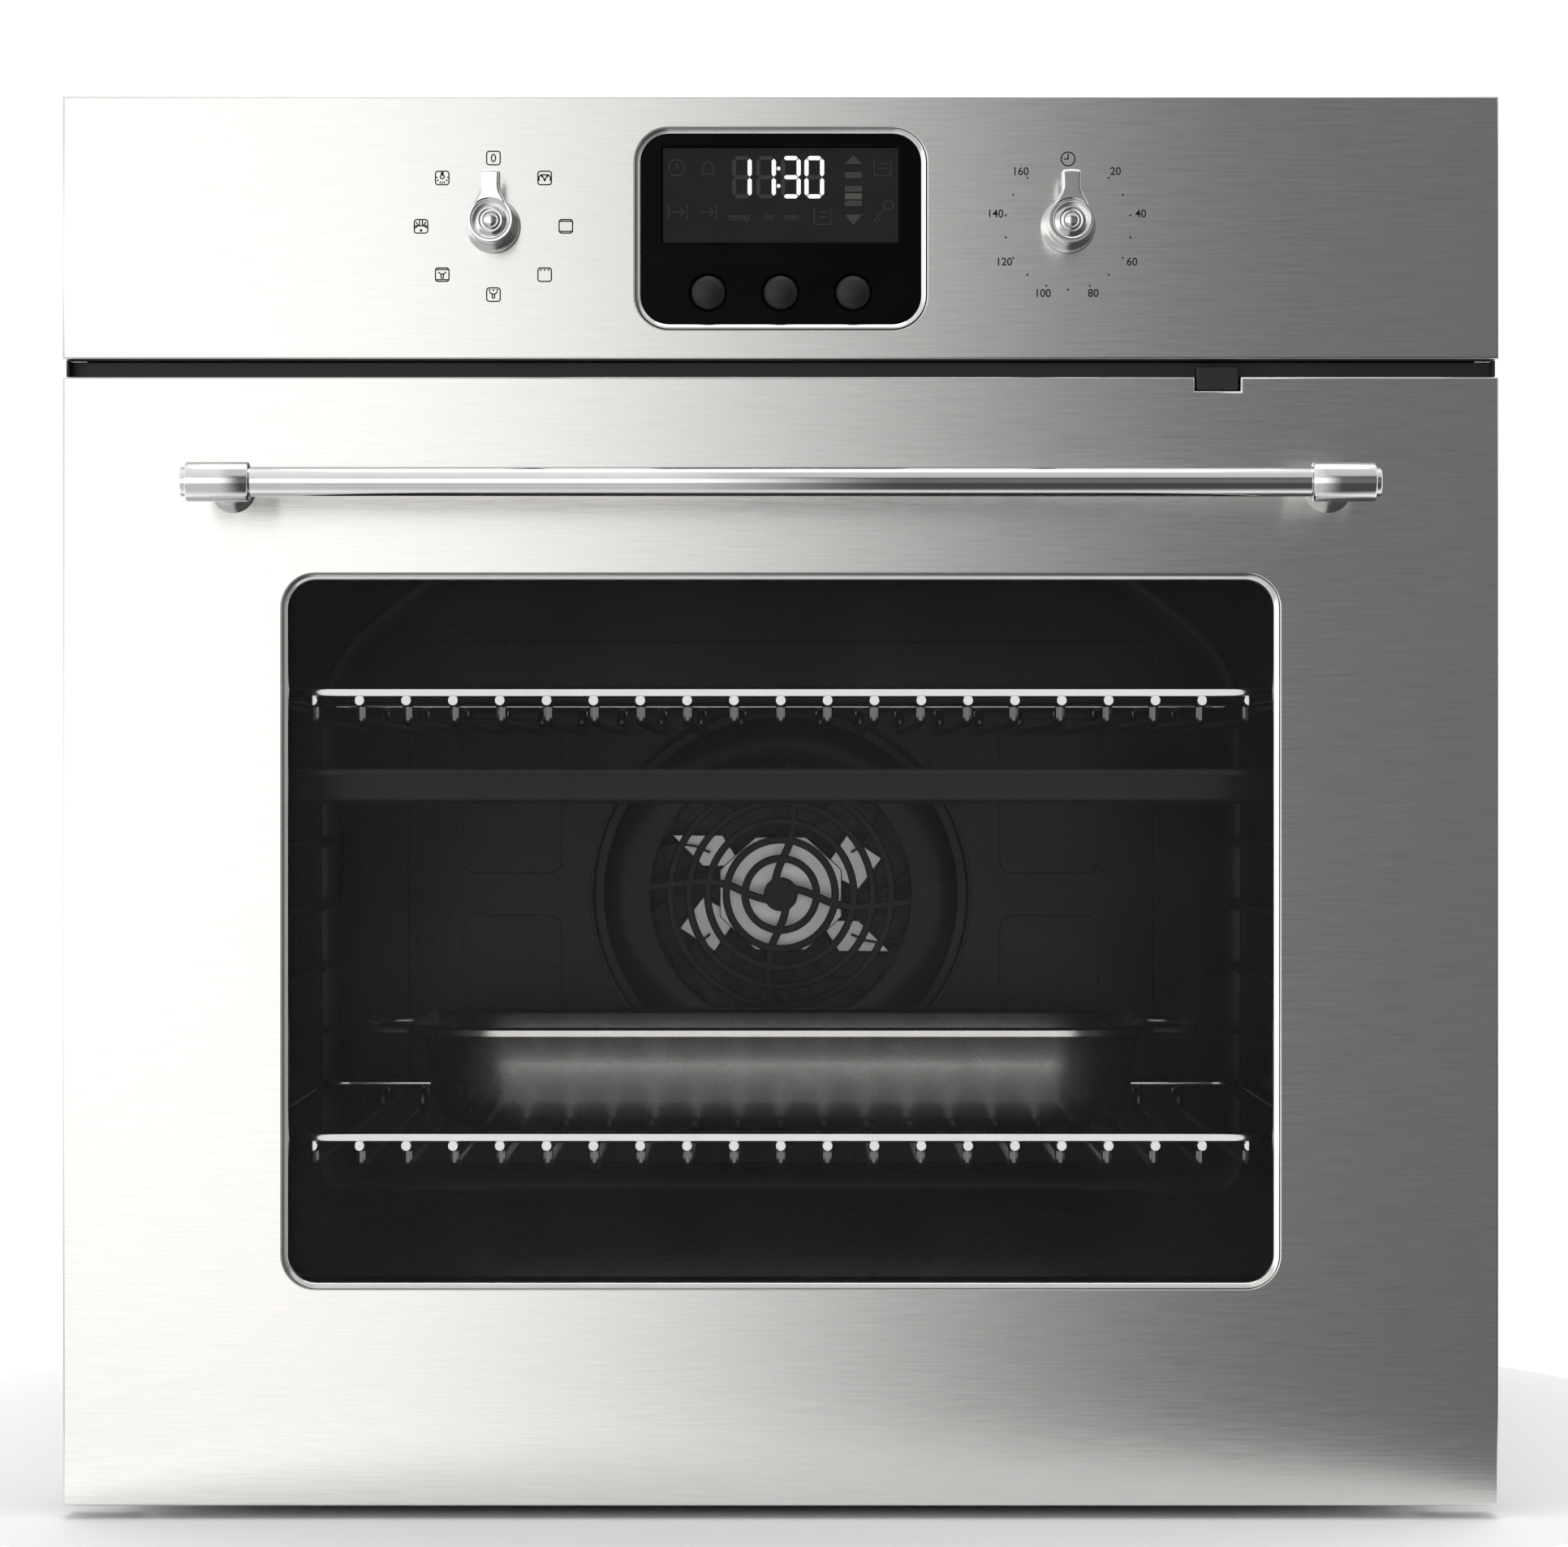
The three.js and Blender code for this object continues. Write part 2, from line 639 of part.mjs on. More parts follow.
function addHinges() {
  for (const [name, side] of bothSides) {
    const x = side * hingeOffset;
    addPiece(`hinge_bracket_${name}`, hingeBracket(x), galvanised());
    addPiece(`hinge_arm_${name}`, hingeArm(x), galvanised());
    addPiece(`hinge_pin_${name}`, hingePin(x), aluminium());
  }
}

// ---------------------------------------------------------------- door

function windowShape(grow) {
  const z = windowFoot + windowHeight / 2;
  return roundRect(windowWidth + grow * 2, windowHeight + grow * 2, windowRadius + grow, 0, z);
}

function hingeNotches() {
  return bothSides.map(([, side]) => {
    const x = side * hingeOffset;
    return block(x - 4, x + 4, pivotDepth - 9, frontDepth + 1, doorBottom - 1, doorBottom + skin + 1);
  });
}

function addDoorSkin() {
  const tray = centred(frontWidth, 0, frontDepth, doorBottom, doorTop);
  const room = centred(frontWidth - skin * 2, skin, frontDepth + 1, doorBottom + skin, doorTop - skin);
  const window = plate(windowShape(0), -1, skin + 1);
  const lockLeft = lockOffset - lockWidth / 2;
  const notch = block(lockLeft, lockLeft + lockWidth, -1, frontDepth + 1, doorTop - lockDrop, doorTop + 1);
  const screwHoles = bothSides.map(([, side]) => {
    return lengthways(side * sleeveCentre, barHeight, -1, skin + 1, screwRadius + 0.5, 12);
  });
  addPiece("door_skin", cut(tray, [room, window, notch, ...hingeNotches(), ...screwHoles]), brushedSteel());
}

function addDoorGlass() {
  const top = windowFoot + windowHeight;
  const front = skin + gap;
  const outerWidth = windowWidth + glassEdge * 2;
  const outer = centred(outerWidth, front, front + glassThickness, windowFoot - glassEdge, top + glassEdge);
  addPiece("outer_glass", outer, blackGlass());
  const middleWidth = windowWidth + middleEdge * 2;
  const middleBack = middleDepth + glassThickness;
  const middle = centred(middleWidth, middleDepth, middleBack, windowFoot - middleEdge, top + middleEdge);
  addPiece("middle_glass", middle, clearGlass());
  const height = plugTop - plugBottom - innerInset * 2;
  const pane = roundRect(doorPlugWidth - innerInset * 2, height, 10, 0, (plugTop + plugBottom) / 2);
  addPiece("inner_glass", plate(pane, doorDepth - glassThickness, doorDepth, 3), clearGlass());
}

// Dark frame behind the skin that carries the glass panes.
function addDoorFrame() {
  const top = windowFoot + windowHeight;
  const back = doorDepth - glassThickness - gap;
  const body = centred(doorPlugWidth, frameFront, back, plugBottom, plugTop);
  const sightLine = centred(windowWidth + 8, frameFront - 1, back + 1, windowFoot - 4, top + 4);
  const seatWidth = windowWidth + (middleEdge + gap) * 2;
  const seatFront = middleDepth - gap;
  const seatBack = middleDepth + glassThickness + gap;
  const paneSeat = centred(seatWidth, seatFront, seatBack, windowFoot - middleEdge - gap, plugTop + 1);
  const glassWidth = windowWidth + glassEdge * 2 + 1;
  const glassBack = frameFront + 1;
  const glassRoom = centred(
    glassWidth, frameFront - 1, glassBack, windowFoot - glassEdge - 1, top + glassEdge + 1);
  const screwRoom = bothSides.map(([, side]) => lengthways(side * sleeveCentre, barHeight, 0, 14, 8, 12));
  addPiece("door_frame", cut(body, [sightLine, paneSeat, glassRoom, ...screwRoom]), blackPlastic());
}

// Slotted strip along the top of the door frame.
function addDoorVent() {
  const bottom = plugTop + gap;
  const top = plugTop + 4;
  const cap = centred(doorPlugWidth, frameFront, doorDepth - 6, bottom, top);
  const slots = [];
  for (let i = -ventSlotsAside; i <= ventSlotsAside; i += 1) {
    const x = i * ventSlotPitch;
    slots.push(block(x - 8, x + 8, 12, 26, bottom - 1, top + 1));
  }
  addPiece("door_top_vent", cut(cap, slots), blackPlastic());
}

// ---------------------------------------------------------------- handle

// Post and sleeve that hold the bar, with the screw that holds them to the door.
function handleBracket(x) {
  const half = sleeveLength / 2;
  const sleeve = crossways(x - half, x + half, -handleReach, barHeight, sleeveRadius, 24);
  const outline = [[0, -gap], [9.5, -gap], [9.2, -3], [6.6, -8], [5.5, -16], [5.5, -handleReach],
    [0, -handleReach]];
  const post = turned(x, barHeight, outline, 20);
  const bore = crossways(x - sleeveLength, x + sleeveLength, -handleReach, barHeight, barRadius + gap, 24);
  const screw = lengthways(x, barHeight, -1, skin + 2, screwRadius, 12);
  const head = lengthways(x, barHeight, skin + gap, skin + 3.5, screwRadius + 2.5, 12);
  return join([sleeve, post, screw, head]).subtract(bore);
}

function addHandle() {
  const half = barLength / 2;
  addPiece("handle_bar", crossways(-half, half, -handleReach, barHeight, barRadius, 24), chrome());
  for (const [name, side] of bothSides) {
    addPiece(`handle_bracket_${name}`, handleBracket(side * sleeveCentre), chrome());
  }
}

// ---------------------------------------------------------------- control panel

function displayShape(grow) {
  return roundRect(displayWidth + grow * 2, displayHeight + grow * 2, displayRadius + grow, 0, displayCentre);
}

function addControlPanel() {
  const tray = centred(frontWidth, 0, frontDepth, panelBottom, panelTop);
  const room = centred(frontWidth - skin * 2, skin, frontDepth + 1, panelBottom + skin, panelTop - skin);
  const displayHole = plate(displayShape(gap), -1, skin + 1);
  const dialHoles = bothSides.map(([, side]) => {
    return lengthways(side * dialOffset, dialAxis, -1, skin + 1, spindleRadius + 1.5);
  });
  addPiece("control_panel", cut(tray, [room, displayHole, ...dialHoles]), brushedSteel());
}

function addDisplay() {
  const body = plate(displayShape(0), fasciaFront, fasciaBack, 6);
  const lip = plate(displayShape(fasciaLip), skin + gap, fasciaBack, 6);
  const bottom = screenCentre - screenHeight / 2;
  const top = bottom + screenHeight;
  const window = centred(screenWidth + gap * 2, 0, fasciaBack + 1, bottom - gap, top + gap);
  const buttonHoles = [-1, 0, 1].map((i) => {
    return lengthways(i * buttonPitch, buttonAxis, 0, fasciaBack + 1, buttonRadius + gap, 24);
  });
  addPiece("display_fascia", cut(body.add(lip), [window, ...buttonHoles]), blackGlass());
  addPiece("display_screen", centred(screenWidth, screenFront, screenBack, bottom, top), blackGlass());
}

// Circuit board behind the display, with a press switch for each button.
function addDisplayBoard() {
  const board = centred(displayWidth + 6, boardDepth, boardDepth + 1.6, displayBottom - 2, displayTop + 2);
  const switches = [-1, 0, 1].map((i) => {
    const x = i * buttonPitch;
    return block(x - 3, x + 3, boardDepth - 2, boardDepth + 0.5, buttonAxis - 3, buttonAxis + 3);
  });
  const relay = centred(40, boardDepth + 1, boardDepth + 16, displayBottom + 30, displayBottom + 56);
  addPiece("display_board", join([board, relay, ...switches]), boardGreen());
}

function addButtons() {
  const stemEnd = boardDepth - 2 - gap - buttonTravel;
  ["left", "centre", "right"].forEach((name, i) => {
    const outline = [[0, -1.4], [2.4, -1.2], [4.8, -0.6], [6.4, 0.2], [buttonRadius, 1.2], [buttonRadius, 5],
      [2, 5], [2, stemEnd], [0, stemEnd]];
    addPiece(`button_${name}`, turned((i - 1) * buttonPitch, buttonAxis, outline, 16), blackPlastic());
  });
}

// Teardrop outline of the knob's head: a disc with a neck that points up.
function teardrop(x, z) {
  const flare = neckHalf + 1.6;
  const start = Math.asin(flare / knobRadius);
  const root = knobRadius * Math.cos(start);
  const shape = new THREE.Shape();
  shape.moveTo(x + flare, z + root);
  shape.quadraticCurveTo(x + neckHalf, z + root + 2, x + neckHalf, z + root + 5);
  shape.lineTo(x + neckHalf + 0.4, z + neckTip);
  shape.lineTo(x - neckHalf - 0.4, z + neckTip);
  shape.lineTo(x - neckHalf, z + root + 5);
  shape.quadraticCurveTo(x - neckHalf, z + root + 2, x - flare, z + root);
  shape.absarc(x, z, knobRadius, Math.PI / 2 + start, Math.PI / 2 - start + Math.PI * 2);
  return shape;
}

function knob(x) {
  const z = dialAxis;
  const front = -knobReach;
  const neck = front + 6;
  const flare = [[0, -1], [11.5, -1], [11.5, -2], [8.2, -5.5], [7, -10], [7, neck], [0, neck]];
  const skirt = turned(x, z, flare, 28);
  const head = plate(teardrop(x, z), front, front + 7, 8);
  const hollow = [[0, front - 1], [bowlRadius, front - 1], [bowlRadius, front], [bowlRadius - 2, front + 3],
    [3.4, front + 4], [3, front + 2.4], [0, front + 2]];
  const spindle = lengthways(x, z, -2, spindleEnd, spindleRadius);
  return join([skirt, head, spindle]).subtract(turned(x, z, hollow, 28));
}

function addDials() {
  for (const [name, side, rear] of [["selector", -1, 46], ["timer", 1, 52]]) {
    const x = side * dialOffset;
    addPiece(`${name}_knob`, knob(x), chrome());
    const body = plate(roundRect(switchSize, switchSize, 5, x, dialAxis), switchFront, rear, 2);
    const neck = lengthways(x, dialAxis, skin + 2, switchFront + 1, 6);
    const bore = lengthways(x, dialAxis, 0, spindleEnd + 1, spindleRadius + gap);
    addPiece(`${name}_switch`, body.add(neck).subtract(bore), blackPlastic());
  }
}

// Dark channel between the panel and the door.
function addVentTrim() {
  const bottom = doorTop + 0.4;
  const top = panelBottom - gap;
  const width = frontWidth - 2.2;
  const bar = centred(width, trimDepth, frontDepth + gap, bottom, top);
  const lockHalf = lockWidth / 2 + 1;
  const lockLeft = lockOffset - lockHalf;
  const lockRoom = block(lockLeft, lockLeft + lockHalf * 2, trimDepth - 1, frontDepth, bottom - 1, top + 1);
  const outlets = [];
  for (let i = -outletsAside; i <= outletsAside; i += 1) {
    const x = i * outletPitch;
    const clearOfLock = Math.abs(x - lockOffset) > lockHalf + 11;
    if (clearOfLock) outlets.push(block(x - 8, x + 8, trimDepth - 1, frontDepth + 2, bottom + 1.6, top - 1.6));
  }
  const ends = bothSides.map(([, side]) => {
    const middle = side * (width / 2 - 0.6);
    return block(middle - 0.6, middle + 0.6, 3, trimDepth + 1, bottom, top);
  });
  addPiece("vent_trim", cut(join([bar, ...ends]), [lockRoom, ...outlets]), blackPlastic());
}

// Small lever that hangs in front of the door's top edge.
function addChildLock() {
  const top = doorTop + lockRise;
  const x0 = lockOffset - lockWidth / 2 + 0.4;
  const x1 = lockOffset + lockWidth / 2 - 0.4;
  const arm = block(x0, x1, 1, lockPivot + 1, top - 2, top);
  const tab = block(x0, x1, 1, 3, doorTop - lockDrop + 0.4, top);
  const pin = crossways(x0 - 0.4, x1 + 0.4, lockPivot, top - 1, 1.6, 12);
  addPiece("child_lock", join([arm, tab, pin]), blackPlastic());
}

// ---------------------------------------------------------------- heaters, fans and lamp

// Air intake over the fan: rings of slots between four spokes that swirl from ring to ring.
function grilleSlots(d0, d1) {
  const slots = [];
  for (let ring = 0; ring < grilleRings; ring += 1) {
    const inner = grilleHub + ring * grillePitch;
    const outer = inner + grillePitch - grilleBar;
    const twist = THREE.MathUtils.degToRad(grilleTwist[ring]);
    for (let quarter = 0; quarter < 4; quarter += 1) {
      const start = quarter * Math.PI / 2 + twist;
      const end = start + Math.PI / 2;
      const clear = (radius) => Math.asin(grilleBar / 2 / radius);
      const shape = new THREE.Shape();
      shape.absarc(0, fanAxis, outer, start + clear(outer), end - clear(outer));
      shape.absarc(0, fanAxis, inner, end - clear(inner), start + clear(inner), true);
      slots.push(plate(shape, d0, d1, 4));
    }
  }
  return slots;
}

function addFanCover() {
  const face = cavityBack - coverStand - coverThickness;
  const centre = coverBottom + coverHeight / 2;
  const outer = plate(roundRect(coverWidth, coverHeight, 8, 0, centre), face, cavityBack - gap, 3);
  const innerWidth = coverWidth - coverThickness * 2;
  const innerHeight = coverHeight - coverThickness * 2;
  const room = plate(roundRect(innerWidth, innerHeight, 7, 0, centre), face + coverThickness, cavityBack, 3);
  const outlets = [];
  for (const side of [-1, 1]) {
    for (const lift of [-1, 1]) {
      const x = side * outletOffset;
      const z = fanAxis + lift * outletLift;
      const w = outletWidth / 2;
      const h = outletHeight / 2;
      outlets.push(block(x - w, x + w, face - 1, face + 3, z - h, z + h));
    }
  }
  addPiece("fan_cover", cut(outer, [room, ...grilleSlots(face - 1, face + 3), ...outlets]), enamel());
}

function addConvectionFan() {
  const rim = impellerRadius;
  const disc = turned(0, fanAxis, [[0, fanRear - 2], [rim, fanRear - 2], [rim, fanRear], [0, fanRear]], 24);
  const hubLine = [[0, fanFront + 4], [hubRadius, fanFront + 8], [hubRadius, fanFront + 10],
    [12, fanRear - 1], [0, fanRear - 1]];
  const hub = turned(0, fanAxis, hubLine, 8);
  const shaft = lengthways(0, fanAxis, fanRear - 3, chamberBack + 30, spindleRadius, 12);
  const pieces = [disc, hub, shaft];
  const height = fanRear - fanFront - 2;
  for (let i = 0; i < bladeCount; i += 1) {
    const blade = new THREE.BoxGeometry(bladeLength, height, 1.5);
    blade.translate(rim - bladeLength / 2 - 1, frontY + fanFront + height / 2 + 0.5, 0);
    blade.rotateY((i / bladeCount) * Math.PI * 2);
    blade.translate(0, 0, fanAxis);
    pieces.push(solid(blade));
  }
  addPiece("convection_fan", join(pieces), aluminium());
}

function addFanMotor() {
  const start = chamberBack + cavityWall + gap;
  const outline = [[0, start], [52, start], [52, start + 3], [40, start + 5], [40, start + 40],
    [28, start + 44], [0, start + 44]];
  const bore = lengthways(0, fanAxis, start - 1, chamberBack + 34, spindleRadius + gap, 12);
  addPiece("fan_motor", turned(0, fanAxis, outline).subtract(bore), galvanised());
}

// Arc in the plane of the fan, from one end of the ring heater to the other.
class HeaterArc extends THREE.Curve {
  getPoint(t) {
    const open = Math.asin(elementFeed / 2 / ringRadius);
    const angle = -Math.PI / 2 + open + t * (Math.PI * 2 - open * 2);
    const x = Math.cos(angle) * ringRadius;
    return new THREE.Vector3(x, frontY + ringDepth, fanAxis + Math.sin(angle) * ringRadius);
  }
}

function addRingHeater() {
  const section = new THREE.Shape();
  section.absarc(0, 0, heaterRadius, 0, Math.PI * 2);
  const options = { extrudePath: new HeaterArc(), steps: 28, curveSegments: 4 };
  const ring = solid(new THREE.ExtrudeGeometry(section, options));
  const legs = [-1, 1].map((side) => {
    const start = ringDepth - heaterRadius;
    return lengthways(side * elementFeed / 2, ringEnd, start, chamberBack + 14, heaterRadius, 8);
  });
  addPiece("ring_heater", join([ring, ...legs]), enamel());
}

// Heater under the ceiling, bent into a double loop with both ends through the back wall.
function addGrillHeater() {
  const z = grillHeight;
  const near = cavityFront + 40;
  const far = cavityBack - 40;
  const turn = near + 60;
  const right = [[elementFeed, cavityBack + 16, z], [elementFeed, turn, z], [grillInner, turn, z],
    [grillInner, far, z], [grillOuter, far, z], [grillOuter, near, z]];
  const left = right.map(([x, d, height]) => [-x, d, height]).reverse();
  addPiece("grill_heater", bentRod([...right, ...left], heaterRadius), enamel());
}

// Heater under the cavity floor.
function addBottomHeater() {
  const z = cavityFloor - cavityWall - gap - heaterRadius;
  const w = bottomHeaterWidth / 2;
  const near = cavityFront + 50;
  const far = cavityBack - 40;
  const points = [[elementFeed, far, z], [w, far, z], [w, near, z], [-w, near, z], [-w, far, z],
    [-elementFeed, far, z]];
  addPiece("bottom_heater", bentRod(points, heaterRadius), enamel());
}

function addLamp() {
  const lens = upright(lampOffset, lampDepth, ceiling - 3.5, ceiling - gap, lampRadius + 3, 24);
  const bayonet = upright(lampOffset, lampDepth, ceiling - 1, ceiling + 8, lampRadius - 1, 24);
  const room = upright(lampOffset, lampDepth, ceiling - 1.5, ceiling + 9, lampRadius - 4, 20);
  addPiece("lamp_lens", lens.add(bayonet).subtract(room), clearGlass());
  const cup = upright(lampOffset, lampDepth, ceiling + 9, ceiling + 27, lampRadius + 5, 20);
  const cupRoom = upright(lampOffset, lampDepth, ceiling + 8, ceiling + 24, lampRadius + 2, 20);
  const bulb = upright(lampOffset, lampDepth, ceiling + 1, ceiling + 25, 8, 16);
  addPiece("lamp_holder", cup.subtract(cupRoom).add(bulb), ceramic());
}

// ---------------------------------------------------------------- cooling air and terminals

// Flat duct that carries cooling air from the blower to the slot above the door.
function addCoolingDuct() {
  const front = cabinetDepth + sheet + gap;
  const rear = blowerFront - gap;
  const top = ductBottom + ductRise;
  const wall = sheet * 1.2;
  const outline = [[front, ductBottom], [front, ductBottom + ductMouth], [front + 30, top], [rear, top],
    [rear, ductBottom]];
  const inner = [[front - 1, ductBottom + wall], [front - 1, ductBottom + ductMouth - wall],
    [front + 30, top - wall], [rear + 1, top - wall], [rear + 1, ductBottom + wall]];
  const shell = profile(polygon(outline), -ductWidth / 2, ductWidth / 2);
  const room = profile(polygon(inner), -ductWidth / 2 + sheet, ductWidth / 2 - sheet);
  addPiece("cooling_duct", shell.subtract(room), galvanised());
}

function addBlowerHousing() {
  const half = blowerHalf;
  const box = block(-half, half, blowerFront, blowerBack, blowerBottom, blowerTop);
  const outline = new THREE.Shape();
  outline.absarc(blowerDepth, blowerAxis, blowerRadius + 2, 0, Math.PI * 2);
  const room = profile(outline, -half + 2, half - 2, 6);
  const eye = crossways(-half - 1, -half + 3, blowerDepth, blowerAxis, blowerRadius - 8, 20);
  const top = blowerBottom + ductRise - 2;
  const mouth = block(-half + 4, half - 4, blowerFront - 1, blowerDepth, blowerBottom + 2, top);
  const bore = crossways(half - 3, half + 1, blowerDepth, blowerAxis, spindleRadius + gap, 12);
  addPiece("cooling_fan_housing", cut(box, [room, eye, mouth, bore]), galvanised());
}

// Drum of vanes on a shaft that runs from side to side.
function addCoolingRotor() {
  const half = blowerHalf;
  const pieces = [crossways(-half + 6, half + 12, blowerDepth, blowerAxis, spindleRadius, 12)];
  for (const x of [-half + 5, 0, half - 7]) {
    pieces.push(crossways(x, x + 2, blowerDepth, blowerAxis, blowerRadius));
  }
  for (let i = 0; i < vaneCount; i += 1) {
    const vane = new THREE.BoxGeometry(half * 2 - 11, 1.5, 9);
    vane.translate(-0.5, 0, blowerRadius - 5);
    vane.rotateX((i / vaneCount) * Math.PI * 2);
    vane.translate(0, frontY + blowerDepth, blowerAxis);
    pieces.push(solid(vane));
  }
  addPiece("cooling_fan_rotor", join(pieces), aluminium());
  const motor = crossways(half + gap, half + 36, blowerDepth, blowerAxis, blowerRadius - 14);
  const bore = crossways(half, half + 16, blowerDepth, blowerAxis, spindleRadius + gap, 12);
  addPiece("cooling_fan_motor", motor.subtract(bore), galvanised());
}

// Block that the supply cable screws into, under a snap-on cover.
function addTerminals() {
  const x0 = inletX - inletWidth / 2;
  const x1 = inletX + inletWidth / 2;
  const z0 = inletZ - inletHeight / 2;
  const z1 = inletZ + inletHeight / 2;
  const rear = backDepth - sheet;
  const base = block(x0, x1, rear - 22, rear - 4, z0, z1);
  const entries = [];
  for (const i of [-1, 0, 1]) {
    const x = inletX + i * terminalPitch;
    entries.push(block(x - 4, x + 4, rear - 14, rear - 3, z0 - 1, inletZ - 2));
    entries.push(lengthways(x, inletZ + 7, rear - 16, rear, 3, 12));
  }
  addPiece("terminal_block", cut(base, entries), ceramic());
  const cover = block(x0 - 2, x1 + 2, rear - 3.5, backDepth, z0 - 2, z1 + 2);
  const cableHole = lengthways(inletX, z0 + 7, rear - 5, backDepth + 1, 5);
  addPiece("terminal_cover", cover.subtract(cableHole), blackPlastic());
}

// ---------------------------------------------------------------- shelves

// Side liners with a rib for each shelf level.
function addShelfRunners() {
  const outer = cavityWidth / 2 - gap;
  const inner = outer - 1;
  const front = cavityFront + 8;
  const rear = cavityBack - coverStand - 6;
  const top = ceiling - slopeRise - 6;
  for (const [name, side] of bothSides) {
    const ribs = [];
    for (let level = 1; level <= levelCount; level += 1) {
      const z = ribTop(level);
      const root = inner + 0.5;
      const tip = inner - ribReach;
      ribs.push(plate(polygon([[root, z], [tip, z], [tip, z - 2.5], [root, z - ribHeight]]), front, rear));
    }
    const wall = join([block(inner, outer, front, rear, cavityFloor + 24, top), ...ribs]);
    addPiece(`shelf_runner_${name}`, side < 0 ? wall.mirror([1, 0, 0]) : wall, enamel());
  }
}

function rodPlaces() {
  return Array.from({ length: rodCount }, (_, i) => (i - (rodCount - 1) / 2) * rodPitch);
}

// Rails of a rack, with the hooks that the grid hangs from under the front and back rails.
function rackRails(z) {
  const front = rackFront;
  const back = rackFront + rackLength;
  const w = rackHalfWidth;
  const c = rackCorner;
  const loop = [[-w + c, front, z], [w - c, front, z], [w, front + c, z], [w, back - c, z], [w - c, back, z],
    [-w + c, back, z], [-w, back - c, z], [-w, front + c, z], [-w + c, front, z]];
  const pieces = [bentRod(loop, wire, 4)];
  for (const x of rodPlaces()) {
    pieces.push(profile(hookOutline(z, front, 1), x - wire, x + wire));
    pieces.push(profile(hookOutline(z, back, -1), x - wire, x + wire));
  }
  return join(pieces);
}

// Side view of a hook: out from under the rail at depth d, then down to the grid.
function hookOutline(z, d, inwards) {
  const top = z - wire + 0.2;
  const bend = top - wire * 2;
  const foot = z - rodDrop + wire + gap;
  const start = d - inwards * 2;
  const near = d + inwards * (hookReach - 2);
  const far = near + inwards * wire * 2;
  const corners = [[start, top], [start, bend], [near, bend], [near, foot], [far, foot], [far, top]];
  return polygon(inwards > 0 ? corners : corners.reverse());
}

// Flat grid of rods under the rails, held by two cross wires.
function rackGrid(z) {
  const height = z - rodDrop;
  const front = rackFront + hookReach - 2;
  const back = rackFront + rackLength - hookReach + 2;
  const pieces = rodPlaces().map((x) => block(x - wire, x + wire, front, back, height - wire, height + wire));
  const half = (rodCount - 1) / 2 * rodPitch;
  for (const d of [front + crossInset, back - crossInset]) {
    pieces.push(crossways(-half, half, d, height, wire * 0.8, 6));
  }
  return join(pieces);
}

function addRack(name, level) {
  const z = levelHeight(level);
  addPiece(name, rackRails(z), wireSteel());
  addPiece(`${name}_grid`, rackGrid(z), wireSteel());
}

function addBakingTray(level) {
  const top = ribTop(level) + gap + traySheet;
  const bottom = top - trayDepth;
  const front = rackFront - 4;
  const back = rackFront + rackLength;
  const half = cavityWidth / 2 - 3.5;
  const side = half - trayRim;
  const rim = block(-half, half, front, back, top - traySheet, top);
  const body = block(-side, side, front + 1, back - trayRim, bottom, top);
  const roomFront = front + 1 + traySheet;
  const roomBack = back - trayRim - traySheet;
  const room = centred((side - traySheet) * 2, roomFront, roomBack, bottom + traySheet, top + 1);
  addPiece("baking_tray", rim.add(body).subtract(room), enamel());
}

function addRoastingPan(level) {
  const bottom = levelHeight(level) - rodDrop + wire + gap;
  const top = bottom + panHeight;
  const middle = panSetBack + panLength / 2;
  const outer = taperedTub(panWidth, panLength, middle, bottom, top);
  const innerWidth = panWidth - panSheet * 2;
  const inner = taperedTub(innerWidth, panLength - panSheet * 2, middle, bottom + panSheet, top + 1);
  const corner = panLength / 4;
  const rim = upRect(panWidth + panRim * 2, panLength + panRim * 2, corner, middle, top - panSheet, top);
  const handles = bothSides.map(([, side]) => {
    const near = side * (panWidth / 2 + 4);
    const far = side * (panWidth / 2 + panHandle);
    const z = top - 3;
    const tip = corner - 7;
    const line = [[near, middle - corner, z], [far, middle - tip, z], [far, middle + tip, z],
      [near, middle + corner, z]];
    return bentRod(line, 2.5);
  });
  addPiece("roasting_pan", join([rim, outer, ...handles]).subtract(inner), panSteel());
}

// Rounded rectangle seen from above, between two heights.
function upRect(width, length, radius, d, z0, z1) {
  const options = { depth: z1 - z0, bevelEnabled: false, curveSegments: 5 };
  const geometry = new THREE.ExtrudeGeometry(roundRect(width, length, radius, 0, frontY + d), options);
  geometry.translate(0, 0, z0);
  return solid(geometry);
}

// Tub whose foot is smaller than its rim.
function taperedTub(width, length, d, z0, z1) {
  const options = { depth: 1, bevelEnabled: false, curveSegments: 5 };
  const geometry = new THREE.ExtrudeGeometry(roundRect(width, length, length * 0.22, 0, 0), options);
  const foot = 1 - panTaper * 2 / width;
  const spots = geometry.attributes.position;
  for (let i = 0; i < spots.count; i += 1) {
    const upper = spots.getZ(i) > 0.5;
    const scale = upper ? 1 : foot;
    spots.setXYZ(i, spots.getX(i) * scale, frontY + d + spots.getY(i) * scale, upper ? z1 : z0);
  }
  return solid(geometry);
}

// ---------------------------------------------------------------- the oven

addFrontFrame();
addHousing();
addCavity();
addFanChamber();
addInsulation();
addDoorSeal();
addHinges();
addDoorSkin();
addDoorGlass();
addDoorFrame();
addDoorVent();
addHandle();
addControlPanel();
addDisplay();
addDisplayBoard();
addButtons();
addDials();
addVentTrim();
addChildLock();
addFanCover();
addConvectionFan();
addFanMotor();
addRingHeater();
addGrillHeater();
addBottomHeater();
addLamp();
addCoolingDuct();
addBlowerHousing();
addCoolingRotor();
addTerminals();
addShelfRunners();
addRack("upper_rack", levelCount);
addRack("lower_rack", 1);
addBakingTray(levelCount - 1);
addRoastingPan(1);

export default oven;
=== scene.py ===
import math

